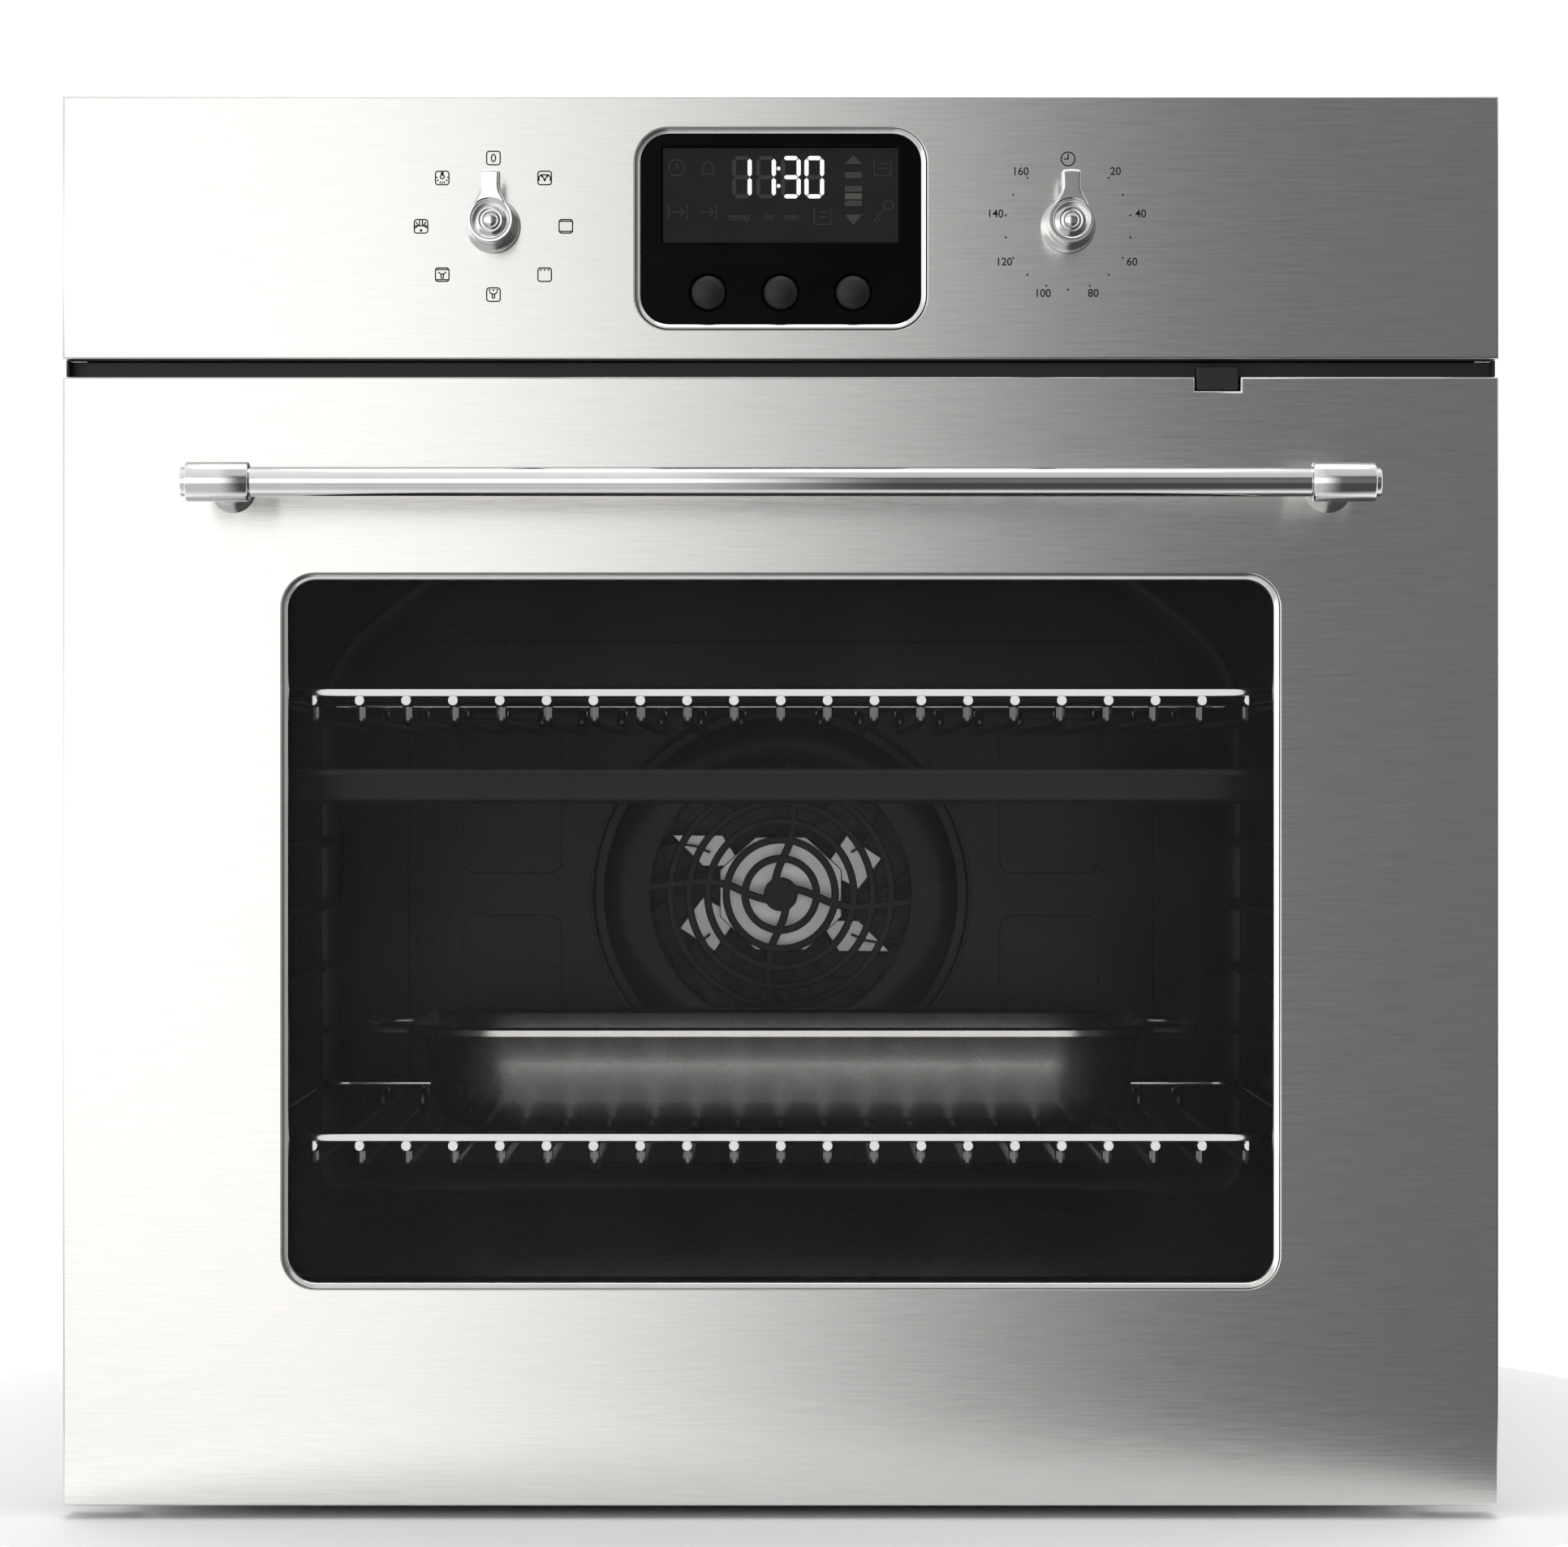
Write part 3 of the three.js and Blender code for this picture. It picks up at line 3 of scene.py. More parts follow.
import bmesh
import bpy
from mathutils import Matrix, Vector


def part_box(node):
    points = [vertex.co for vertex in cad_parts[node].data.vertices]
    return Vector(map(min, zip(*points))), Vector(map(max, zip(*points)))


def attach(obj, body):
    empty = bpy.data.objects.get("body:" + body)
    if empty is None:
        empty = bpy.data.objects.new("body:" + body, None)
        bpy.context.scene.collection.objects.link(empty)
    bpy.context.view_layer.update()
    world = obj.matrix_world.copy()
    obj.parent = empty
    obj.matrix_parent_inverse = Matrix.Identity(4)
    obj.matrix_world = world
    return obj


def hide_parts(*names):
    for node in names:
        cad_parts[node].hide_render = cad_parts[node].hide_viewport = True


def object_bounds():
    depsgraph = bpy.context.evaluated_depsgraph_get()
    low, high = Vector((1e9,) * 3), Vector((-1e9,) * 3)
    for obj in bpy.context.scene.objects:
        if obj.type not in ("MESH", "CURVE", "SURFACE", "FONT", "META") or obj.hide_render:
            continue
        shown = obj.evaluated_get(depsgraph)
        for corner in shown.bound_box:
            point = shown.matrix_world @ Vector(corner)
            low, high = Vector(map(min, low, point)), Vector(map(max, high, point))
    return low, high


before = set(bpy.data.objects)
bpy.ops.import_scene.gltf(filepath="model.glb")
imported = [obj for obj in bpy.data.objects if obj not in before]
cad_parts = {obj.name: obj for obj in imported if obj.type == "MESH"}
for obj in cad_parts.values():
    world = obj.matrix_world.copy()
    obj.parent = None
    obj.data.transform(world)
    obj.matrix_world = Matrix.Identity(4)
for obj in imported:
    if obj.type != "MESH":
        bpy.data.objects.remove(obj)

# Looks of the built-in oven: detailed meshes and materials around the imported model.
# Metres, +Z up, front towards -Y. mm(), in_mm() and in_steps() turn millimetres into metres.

cad_low, cad_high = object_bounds()


def mm(length):
    return length * 0.001


# ------------------------------------------------------------------ places read from the frame

panel_low, panel_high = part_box("control_panel")
door_low, door_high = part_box("door_skin")
glass_low, glass_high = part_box("outer_glass")
screen_low, screen_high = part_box("display_screen")
fascia_low, fascia_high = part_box("display_fascia")
cavity_low, cavity_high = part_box("cavity")
cover_low, cover_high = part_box("fan_cover")
fan_low, fan_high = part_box("convection_fan")
trim_low, trim_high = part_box("vent_trim")
lock_low, lock_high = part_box("child_lock")

FRONT = door_low.y                       # front face of the door and the panel
FAN_Z = (fan_low.z + fan_high.z) / 2
DIAL_X = (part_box("timer_knob")[0].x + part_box("timer_knob")[1].x) / 2
DIAL_Z = (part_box("timer_switch")[0].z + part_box("timer_switch")[1].z) / 2
BAR_Y = (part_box("handle_bar")[0].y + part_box("handle_bar")[1].y) / 2
BAR_Z = (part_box("handle_bar")[0].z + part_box("handle_bar")[1].z) / 2
GLASS_EDGE = mm(12)                      # outer glass hidden behind the door skin
HINGE_GAP_DEPTH = mm(9)                  # gap in the door skin's lower edge, behind its front
FASCIA_LIP = mm(4)                       # display fascia hidden behind the panel
WINDOW_RADIUS = mm(13)


def in_mm(*pairs):
    """Pairs of lengths given in millimetres."""
    return [(mm(a), mm(b)) for a, b in pairs]


def behind(depth):
    """Y of a point some millimetres behind the door's front face."""
    return FRONT + mm(depth)


# ------------------------------------------------------------------ materials

def new_material(name):
    material = bpy.data.materials.new(name)
    material.use_nodes = True
    return material, material.node_tree, material.node_tree.nodes["Principled BSDF"]


def put(node, name, value):
    """Sets a node's own socket."""
    node.inputs[name].default_value = value


def add_node(tree, kind, **settings):
    node = tree.nodes.new(kind)
    for key, value in settings.items():
        setattr(node, key, value)
    return node


def stretched_noise(tree, scale, stretch, detail=4.0):
    """Noise over the object's own coordinates, stretched along its axes."""
    place = add_node(tree, "ShaderNodeTexCoord")
    mapping = add_node(tree, "ShaderNodeMapping")
    put(mapping, "Scale", stretch)
    noise = add_node(tree, "ShaderNodeTexNoise")
    put(noise, "Scale", scale)
    put(noise, "Detail", detail)
    tree.links.new(place.outputs["Object"], mapping.inputs["Vector"])
    tree.links.new(mapping.outputs["Vector"], noise.inputs["Vector"])
    return noise.outputs["Fac"]


def ramp(tree, factor, low, high, start=0.35, end=0.65):
    """Colour between two values as the factor goes from start to end."""
    node = add_node(tree, "ShaderNodeValToRGB")
    node.color_ramp.elements[0].position = start
    node.color_ramp.elements[1].position = end
    node.color_ramp.elements[0].color = (*low, 1)
    node.color_ramp.elements[1].color = (*high, 1)
    tree.links.new(factor, node.inputs["Fac"])
    return node.outputs["Color"]


def span(tree, factor, low, high):
    """Number between low and high as the factor goes from 0 to 1."""
    node = add_node(tree, "ShaderNodeMapRange")
    put(node, "To Min", low)
    put(node, "To Max", high)
    tree.links.new(factor, node.inputs["Value"])
    return node.outputs["Result"]


def add_bump(tree, shader, height, strength, distance):
    bump = add_node(tree, "ShaderNodeBump")
    put(bump, "Strength", strength)
    put(bump, "Distance", distance)
    tree.links.new(height, bump.inputs["Height"])
    tree.links.new(bump.outputs["Normal"], shader.inputs["Normal"])


def brushed_steel(name, tint=(0.83, 0.815, 0.795), grain=(45, 1200, 1200)):
    """Steel brushed along X: fine streaks, and a highlight that spreads up and down."""
    material, tree, shader = new_material(name)
    put(shader, "Metallic", 1.0)
    put(shader, "Anisotropic", 0.75)
    put(shader, "Anisotropic Rotation", 0.25)
    tangent = add_node(tree, "ShaderNodeTangent", direction_type="RADIAL", axis="Z")
    tree.links.new(tangent.outputs["Tangent"], shader.inputs["Tangent"])
    streaks = stretched_noise(tree, 1.0, grain, 3.0)
    dark = tuple(0.93 * value for value in tint)
    tree.links.new(ramp(tree, streaks, dark, tint, 0.3, 0.62), shader.inputs["Base Color"])
    tree.links.new(span(tree, streaks, 0.15, 0.21), shader.inputs["Roughness"])
    add_bump(tree, shader, streaks, 0.12, 0.00006)
    return material


def polished_metal(name, tint, roughness, smudge=0.04):
    material, tree, shader = new_material(name)
    put(shader, "Metallic", 1.0)
    haze = stretched_noise(tree, 60, (1, 1, 1), 5.0)
    dark = tuple(0.95 * value for value in tint)
    tree.links.new(ramp(tree, haze, dark, tint), shader.inputs["Base Color"])
    tree.links.new(span(tree, haze, roughness, roughness + smudge), shader.inputs["Roughness"])
    return material


def enamel(name, low=(0.0085, 0.0080, 0.0083), high=(0.0125, 0.0118, 0.0122), roughness=0.28):
    """Dark vitreous enamel: a slight orange peel and a fine speckle."""
    material, tree, shader = new_material(name)
    speckle = stretched_noise(tree, 900, (1, 1, 1), 2.0)
    peel = stretched_noise(tree, 120, (1, 1, 1), 2.0)
    tree.links.new(ramp(tree, speckle, low, high), shader.inputs["Base Color"])
    tree.links.new(span(tree, peel, roughness - 0.04, roughness + 0.06), shader.inputs["Roughness"])
    put(shader, "Coat Weight", 0.05)
    put(shader, "Coat Roughness", 0.12)
    add_bump(tree, shader, peel, 0.12, 0.0003)
    put(shader, "Specular IOR Level", 0.12)
    return material


def galvanised(name, low=(0.47, 0.485, 0.495), high=(0.57, 0.585, 0.59)):
    """Zinc-coated sheet with the patchwork of its crystals."""
    material, tree, shader = new_material(name)
    place = add_node(tree, "ShaderNodeTexCoord")
    cells = add_node(tree, "ShaderNodeTexVoronoi")
    put(cells, "Scale", 130)
    tree.links.new(place.outputs["Object"], cells.inputs["Vector"])
    value = add_node(tree, "ShaderNodeSeparateColor")
    tree.links.new(cells.outputs["Color"], value.inputs["Color"])
    put(shader, "Metallic", 0.9)
    tree.links.new(ramp(tree, value.outputs["Red"], low, high, 0.0, 1.0), shader.inputs["Base Color"])
    tree.links.new(span(tree, value.outputs["Green"], 0.40, 0.50), shader.inputs["Roughness"])
    add_bump(tree, shader, stretched_noise(tree, 400, (1, 1, 1)), 0.05, 0.0001)
    return material


def moulded_plastic(name, low, high, roughness=0.42):
    """Plastic with the fine grain of its mould."""
    material, tree, shader = new_material(name)
    grain = stretched_noise(tree, 2500, (1, 1, 1), 2.0)
    tree.links.new(ramp(tree, grain, low, high), shader.inputs["Base Color"])
    tree.links.new(span(tree, grain, roughness - 0.05, roughness + 0.08), shader.inputs["Roughness"])
    add_bump(tree, shader, grain, 0.15, 0.0001)
    return material


def glossy_black(name, low, high, roughness=0.06):
    material, tree, shader = new_material(name)
    smear = stretched_noise(tree, 35, (1, 1, 2), 4.0)
    tree.links.new(ramp(tree, smear, low, high), shader.inputs["Base Color"])
    tree.links.new(span(tree, smear, roughness, roughness + 0.05), shader.inputs["Roughness"])
    put(shader, "Specular IOR Level", 0.05)
    return material


def window_glass(name, alpha, specular, tint=(0.012, 0.012, 0.013)):
    """Clear pane: mostly see-through, with a soft reflection."""
    material, tree, shader = new_material(name)
    haze = stretched_noise(tree, 18, (1, 1, 1), 3.0)
    high = tuple(1.3 * value for value in tint)
    tree.links.new(ramp(tree, haze, tint, high), shader.inputs["Base Color"])
    tree.links.new(span(tree, haze, 0.03, 0.06), shader.inputs["Roughness"])
    put(shader, "Specular IOR Level", specular)
    put(shader, "Alpha", alpha)
    return material


def woven(name):
    """Braided glass-fibre rope of the door seal."""
    material, tree, shader = new_material(name)
    place = add_node(tree, "ShaderNodeTexCoord")
    wave = add_node(tree, "ShaderNodeTexWave", wave_type="BANDS", bands_direction="DIAGONAL")
    put(wave, "Scale", 260)
    put(wave, "Distortion", 1.5)
    tree.links.new(place.outputs["Object"], wave.inputs["Vector"])
    tree.links.new(ramp(tree, wave.outputs["Fac"], (0.03, 0.03, 0.03), (0.10, 0.10, 0.095)),
                   shader.inputs["Base Color"])
    put(shader, "Roughness", 0.85)
    add_bump(tree, shader, wave.outputs["Fac"], 0.6, 0.0006)
    return material


def mottled(name, low, high, roughness, scale=250, metallic=0.0, bump=0.2):
    """Surface whose colour and height vary at one scale: wool, ceramic, oxide or board."""
    material, tree, shader = new_material(name)
    patches = stretched_noise(tree, scale, (1, 1, 1), 6.0)
    tree.links.new(ramp(tree, patches, low, high), shader.inputs["Base Color"])
    tree.links.new(span(tree, patches, roughness - 0.06, roughness + 0.06), shader.inputs["Roughness"])
    put(shader, "Metallic", metallic)
    add_bump(tree, shader, patches, bump, 0.0006)
    return material


def glowing(name, colour, strength):
    """Lit segment of the clock."""
    material, tree, shader = new_material(name)
    flicker = stretched_noise(tree, 700, (1, 1, 1), 2.0)
    high = tuple(min(1.0, 1.06 * value) for value in colour)
    tree.links.new(ramp(tree, flicker, colour, high), shader.inputs["Emission Color"])
    put(shader, "Base Color", (0.02, 0.02, 0.02, 1))
    put(shader, "Emission Strength", strength)
    put(shader, "Roughness", 0.5)
    return material


STEEL = brushed_steel("brushed_steel")
CHROME = polished_metal("chrome", (0.86, 0.86, 0.86), 0.05)
WIRE = polished_metal("wire_chrome", (0.62, 0.62, 0.61), 0.12)
# Rack rods: a darker copy of the rack wire as painted shade; their tips keep the bright wire.
ROD_STEEL_PAINTED_SHADE = polished_metal("rod_steel_painted_shade", (0.13, 0.13, 0.13), 0.22)
RIM_STEEL = polished_metal("rim_steel", (0.80, 0.79, 0.775), 0.13)
PAN_STEEL = polished_metal("pan_steel", (0.66, 0.645, 0.62), 0.24, 0.06)
ALUMINIUM = polished_metal("aluminium", (0.80, 0.80, 0.80), 0.34, 0.1)
# Bright hub steel; it also colours the four wings that are painted highlights of the blades.
HUB_STEEL_AND_PAINTED_HIGHLIGHTS = polished_metal("hub_steel_and_painted_highlights", (0.96, 0.95, 0.93), 0.42, 0.06)
ENAMEL = enamel("black_enamel")
TRAY_ENAMEL = enamel("tray_enamel", (0.0045, 0.0042, 0.0044), (0.007, 0.0066, 0.0069), 0.34)
ZINC = galvanised("galvanised_steel")
PLASTIC = moulded_plastic("black_plastic", (0.012, 0.012, 0.012), (0.020, 0.020, 0.020))
BUTTON = moulded_plastic("button_plastic", (0.006, 0.006, 0.006), (0.009, 0.009, 0.009), 0.5)
FASCIA = glossy_black("black_glass", (0.0015, 0.0015, 0.0015), (0.003, 0.003, 0.003))
SCREEN = glossy_black("screen_glass", (0.026, 0.0235, 0.0245), (0.030, 0.0275, 0.0285), 0.3)
OUTER_GLASS = window_glass("outer_glass_clear", 0.10, 0.05, (0.075, 0.072, 0.073))
INNER_GLASS = window_glass("inner_glass_clear", 0.03, 0.03)
LAMP_GLASS = window_glass("lamp_glass", 0.35, 0.5, (0.55, 0.57, 0.57))
SEAL = woven("seal_rope")
# Dark oxide of the heater sheaths; on the fan wheel the same dark colour is painted shade.
SHEATH_OXIDE_AND_PAINTED_SHADE = mottled("heater_oxide_and_painted_shade", (0.025, 0.022, 0.020), (0.07, 0.06, 0.052), 0.5, 180, 0.6)
WOOL = mottled("mineral_wool", (0.42, 0.37, 0.26), (0.66, 0.60, 0.46), 0.92, 420, 0.0, 0.8)
BOARD = mottled("circuit_board", (0.018, 0.10, 0.05), (0.03, 0.16, 0.08), 0.5, 90)
CERAMIC = mottled("white_ceramic", (0.70, 0.68, 0.62), (0.82, 0.80, 0.74), 0.55, 300)
INK = mottled("printed_ink", (0.002, 0.002, 0.002), (0.004, 0.004, 0.004), 0.8, 900)
DIGIT = glowing("clock_segment", (0.93, 0.96, 0.97), 1.0)
GHOST = mottled("unlit_segment", (0.036, 0.034, 0.033), (0.042, 0.040, 0.038), 0.6, 900)
SIGN = mottled("level_sign", (0.048, 0.046, 0.045), (0.056, 0.054, 0.052), 0.6, 900)
AMBER = glowing("level_bar", (0.11, 0.10, 0.075), 0.45)


# ------------------------------------------------------------------ mesh helpers

def finish_piece(piece, material, body, smooth_angle=35):
    """Gives a piece its material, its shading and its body."""
    if material:
        piece.data.materials.clear()
        piece.data.materials.append(material)
    if smooth_angle:
        shade(piece, smooth_angle)
    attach(piece, body)
    return piece


def shade(piece, angle):
    """Smooth shading, but for edges sharper than the angle."""
    mesh = piece.data
    for face in mesh.polygons:
        face.use_smooth = True
    limit = math.radians(angle)
    work = bmesh.new()
    work.from_mesh(mesh)
    for edge in work.edges:
        edge.smooth = len(edge.link_faces) == 2 and edge.calc_face_angle(0) < limit
    work.to_mesh(mesh)
    work.free()


def add_object(name, data):
    piece = bpy.data.objects.new(name, data)
    bpy.context.scene.collection.objects.link(piece)
    return piece


def mesh_of(curve_object):
    """Turns a curve or text object into a plain mesh and removes it."""
    depsgraph = bpy.context.evaluated_depsgraph_get()
    mesh = bpy.data.meshes.new_from_object(curve_object.evaluated_get(depsgraph))
    data = curve_object.data
    bpy.data.objects.remove(curve_object)
    bpy.data.curves.remove(data)
    return mesh


def join_meshes(name, meshes):
    """One mesh object from several meshes."""
    work = bmesh.new()
    for mesh in meshes:
        work.from_mesh(mesh)
        bpy.data.meshes.remove(mesh)
    whole = bpy.data.meshes.new(name)
    work.to_mesh(whole)
    work.free()
    return add_object(name, whole)


def round_rect(width, height, radius, x=0.0, z=0.0, steps=8):
    """Rectangle with round corners, anticlockwise."""
    points = []
    for i, (sx, sz) in enumerate([(1, -1), (1, 1), (-1, 1), (-1, -1)]):
        cx = x + sx * (width / 2 - radius)
        cz = z + sz * (height / 2 - radius)
        for step in range(steps + 1):
            angle = math.radians(-90 + 90 * i + 90 * step / steps)
            points.append((cx + radius * math.cos(angle), cz + radius * math.sin(angle)))
    return points


def circle(radius, x=0.0, z=0.0, steps=48):
    return [(x + radius * math.cos(2 * math.pi * i / steps), z + radius * math.sin(2 * math.pi * i / steps))
            for i in range(steps)]


def rounded(points, radius, steps=5):
    """An open line of points with each inner corner turned into an arc."""
    line = [Vector(point) for point in points]
    out = [line[0]]
    for before, corner, after in zip(line, line[1:], line[2:]):
        reach = min(radius, (before - corner).length * 0.49, (after - corner).length * 0.49)
        start = corner + (before - corner).normalized() * reach
        end = corner + (after - corner).normalized() * reach
        for step in range(steps + 1):
            t = step / steps
            out.append(start * (1 - t) ** 2 + corner * 2 * t * (1 - t) + end * t * t)
    out.append(line[-1])
    return out


def plate_mesh(outer, holes, y0, y1, edge):
    """Flat plate with rounded edges: an outline in x and z with holes, from y0 back to y1."""
    curve = bpy.data.curves.new("outline", "CURVE")
    curve.dimensions = "2D"
    curve.fill_mode = "BOTH"
    for loop in [outer, *[list(reversed(hole)) for hole in holes]]:
        spline = curve.splines.new("POLY")
        spline.points.add(len(loop) - 1)
        for point, (x, z) in zip(spline.points, loop):
            point.co = (x, z, 0, 1)
        spline.use_cyclic_u = True
    curve.extrude = (y1 - y0) / 2 - edge
    curve.bevel_depth = edge
    curve.bevel_resolution = 2
    curve.offset = -edge
    mesh = mesh_of(add_object("outline", curve))
    mesh.transform(Matrix.Rotation(math.pi / 2, 4, "X"))
    mesh.transform(Matrix.Translation((0, (y0 + y1) / 2, 0)))
    return mesh


def plate(name, outer, holes, y0, y1, edge):
    return add_object(name, plate_mesh(outer, holes, y0, y1, edge))


def wire_mesh(lines, radius, closed=False, sides=2):
    """Round wires along lists of points."""
    curve = bpy.data.curves.new("wire", "CURVE")
    curve.dimensions = "3D"
    for line in lines:
        spline = curve.splines.new("POLY")
        spline.points.add(len(line) - 1)
        for point, place in zip(spline.points, line):
            point.co = (*place, 1)
        spline.use_cyclic_u = closed
    curve.bevel_depth = radius
    curve.bevel_resolution = sides
    curve.use_fill_caps = not closed
    return mesh_of(add_object("wire", curve))


def turned_mesh(profile, centre, axis="Y", segments=48):
    """Round form: (radius, place along the axis) pairs in metres, turned about an axis through centre."""
    work = bmesh.new()
    rings = []
    for radius, along in profile:
        if radius < 1e-7:
            rings.append([work.verts.new(spun(0, 0, along, axis, centre))])
            continue
        ring = []
        for i in range(segments):
            angle = 2 * math.pi * i / segments
            ring.append(work.verts.new(spun(radius * math.cos(angle), radius * math.sin(angle), along,
                                            axis, centre)))
        rings.append(ring)
    for low, high in zip(rings, rings[1:]):
        for i in range(segments):
            corners = [low[i % len(low)], low[(i + 1) % len(low)], high[(i + 1) % len(high)],
                       high[i % len(high)]]
            unique = list(dict.fromkeys(corners))
            if len(unique) > 2:
                work.faces.new(unique)
    bmesh.ops.recalc_face_normals(work, faces=work.faces)
    mesh = bpy.data.meshes.new("turned")
    work.to_mesh(mesh)
    work.free()
    return mesh


def spun(a, b, along, axis, centre):
    x, y, z = centre
    if axis == "Y":
        return (x + a, y + along, z + b)
    if axis == "X":
        return (x + along, y + a, z + b)
    return (x + a, y + b, z + along)


def thicken(piece, thickness, offset=0):
    """Gives a surface the thickness of its sheet."""
    thick = piece.modifiers.new("sheet", "SOLIDIFY")
    thick.thickness = mm(thickness)
    thick.offset = offset


def soften(node, width, segments=3):
    """Rounds the edges of a CAD node that stays in view."""
    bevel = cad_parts[node].modifiers.new("edges", "BEVEL")
    bevel.width = mm(width)
    bevel.segments = segments
    bevel.limit_method = "ANGLE"
    bevel.angle_limit = math.radians(40)
    bevel.harden_normals = False


def dress(material, *nodes):
    """Gives CAD nodes that stay in view their material."""
    for name in nodes:
        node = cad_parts[name]
        node.data.materials.clear()
        node.data.materials.append(material)


# ------------------------------------------------------------------ steel front

def rectangle(low, high):
    """Outline of a box seen from the front."""
    return [(low.x, low.z), (high.x, low.z), (high.x, high.z), (low.x, high.z)]


def opened_ring(outline, inner, gap):
    """A ring of sheet whose lower edge is open at the gap on each side: the long piece and the short one."""
    near, far = gap
    foot = outline[0][1]
    roof = inner[0][1]
    long_way = [(far, foot), *outline[1:], outline[0], (-far, foot), (-far, roof), inner[0],
                *reversed(inner[1:]), (far, roof)]
    return long_way, [(-near, foot), (near, foot), (near, roof), (-near, roof)]


def shell_front(name, low, high, holes, edge, notch=None, gap=None):
    """Steel front: a sheet with rounded edges and returns that run back to the frame."""
    outline = rectangle(low, high)
    if notch:
        x0, x1, depth = notch
        outline[3:3] = [(x1, high.z), (x1, high.z - depth), (x0, high.z - depth), (x0, high.z)]
    inset = mm(1.4)
    inner = [(low.x + inset, low.z + inset), (high.x - inset, low.z + inset),
             (high.x - inset, high.z - inset), (low.x + inset, high.z - inset)]
    if notch:
        lower = high.z - notch[2] - inset
        inner[3:3] = [(x1 + inset, high.z - inset), (x1 + inset, lower), (x0 - inset, lower),
                      (x0 - inset, high.z - inset)]
    face = plate_mesh(outline, holes, low.y, low.y + mm(2.2), edge)
    if gap is None:
        returns = [plate_mesh(outline, [inner], low.y + mm(0.9), high.y, mm(0.3))]
    else:
        parting = low.y + HINGE_GAP_DEPTH
        returns = [plate_mesh(outline, [inner], low.y + mm(0.9), parting, mm(0.3))]
        for strip in opened_ring(outline, inner, gap):
            returns.append(plate_mesh(strip, [], parting, high.y, mm(0.3)))
    return join_meshes(name, [face, *returns])


def window_outline(grow):
    width = glass_high.x - glass_low.x - 2 * GLASS_EDGE + 2 * grow
    height = glass_high.z - glass_low.z - 2 * GLASS_EDGE + 2 * grow
    return round_rect(width, height, WINDOW_RADIUS + grow, 0, (glass_low.z + glass_high.z) / 2, 10)


def display_outline(grow):
    width = fascia_high.x - fascia_low.x - 2 * FASCIA_LIP + 2 * grow
    height = fascia_high.z - fascia_low.z - 2 * FASCIA_LIP + 2 * grow
    return round_rect(width, height, WINDOW_RADIUS + grow, 0, (fascia_low.z + fascia_high.z) / 2, 10)


def lined_hole(name, outline_at, y0, body):
    """Rounded steel rim round a cut-out, running back into the door or the panel."""
    loops = in_mm((0.9, 0.02), (0.65, 0.05), (0.2, 0.45), (-0.6, 1.05), (-1.0, 1.35), (-1.1, 2.2))
    work = bmesh.new()
    rings = []
    for grow, depth in loops:
        rings.append([work.verts.new((x, y0 + depth, z)) for x, z in outline_at(grow)])
    for low, high in zip(rings, rings[1:]):
        for i in range(len(low)):
            j = (i + 1) % len(low)
            work.faces.new((low[i], high[i], high[j], low[j]))
    mesh = bpy.data.meshes.new(name)
    work.to_mesh(mesh)
    work.free()
    piece = add_object(name, mesh)
    thicken(piece, 0.5, -1)
    return finish_piece(piece, RIM_STEEL, body, 60)


def make_front():
    notch_half = (lock_high.x - lock_low.x) / 2 + mm(0.4)
    lock_x = (lock_low.x + lock_high.x) / 2
    notch = (lock_x - notch_half, lock_x + notch_half, mm(5.9))
    hinge_low, hinge_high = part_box("hinge_arm_right")
    hinge_x = (hinge_low.x + hinge_high.x) / 2
    gap = (hinge_x - mm(4), hinge_x + mm(4))
    door = shell_front("door_skin_steel", door_low, door_high, [window_outline(mm(0.9))], mm(0.9),
                       notch, gap)
    finish_piece(door, STEEL, "door")
    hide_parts("door_skin")
    lined_hole("window_rim", window_outline, FRONT, "door")
    holes = [display_outline(mm(0.9))]
    panel = shell_front("control_panel_steel", panel_low, panel_high, holes, mm(0.9))
    finish_piece(panel, STEEL, "chassis")
    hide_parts("control_panel")
    lined_hole("display_rim", display_outline, FRONT, "chassis")


make_front()
dress(PLASTIC, "door_frame", "door_top_vent", "selector_switch", "timer_switch", "terminal_cover")
dress(OUTER_GLASS, "outer_glass")
dress(INNER_GLASS, "middle_glass", "inner_glass")
dress(LAMP_GLASS, "lamp_lens")
dress(ENAMEL, "front_frame", "shelf_runner_left", "shelf_runner_right")
dress(ZINC, "housing_base", "cooling_duct", "cooling_fan_housing", "cooling_fan_motor", "fan_motor")
dress(ZINC, "hinge_bracket_left", "hinge_bracket_right", "hinge_arm_left", "hinge_arm_right")
dress(ALUMINIUM, "cooling_fan_rotor", "hinge_pin_left", "hinge_pin_right")
dress(SHEATH_OXIDE_AND_PAINTED_SHADE, "ring_heater", "grill_heater", "bottom_heater")
dress(SEAL, "door_seal")
dress(WOOL, "insulation_wrap")
dress(BOARD, "display_board")
dress(CERAMIC, "lamp_holder", "terminal_block")


# ------------------------------------------------------------------ handle, dials and display

def make_handle():
    """Polished bar in two sleeves on flared posts."""
    low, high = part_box("handle_bar")
    end = high.x
    radius = (high.z - low.z) / 2
    line = [(0, -end), (radius * 0.82, -end), (radius * 0.96, -end + mm(0.3)), (radius, -end + mm(0.9)),
            (radius, end - mm(0.9)), (radius * 0.96, end - mm(0.3)), (radius * 0.82, end), (0, end)]
    bar = add_object("handle_bar_chrome", turned_mesh(line, (0, BAR_Y, BAR_Z), "X", 64))
    finish_piece(bar, CHROME, "door", 50)
    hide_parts("handle_bar")
    for side in ("left", "right"):
        make_bracket(side)


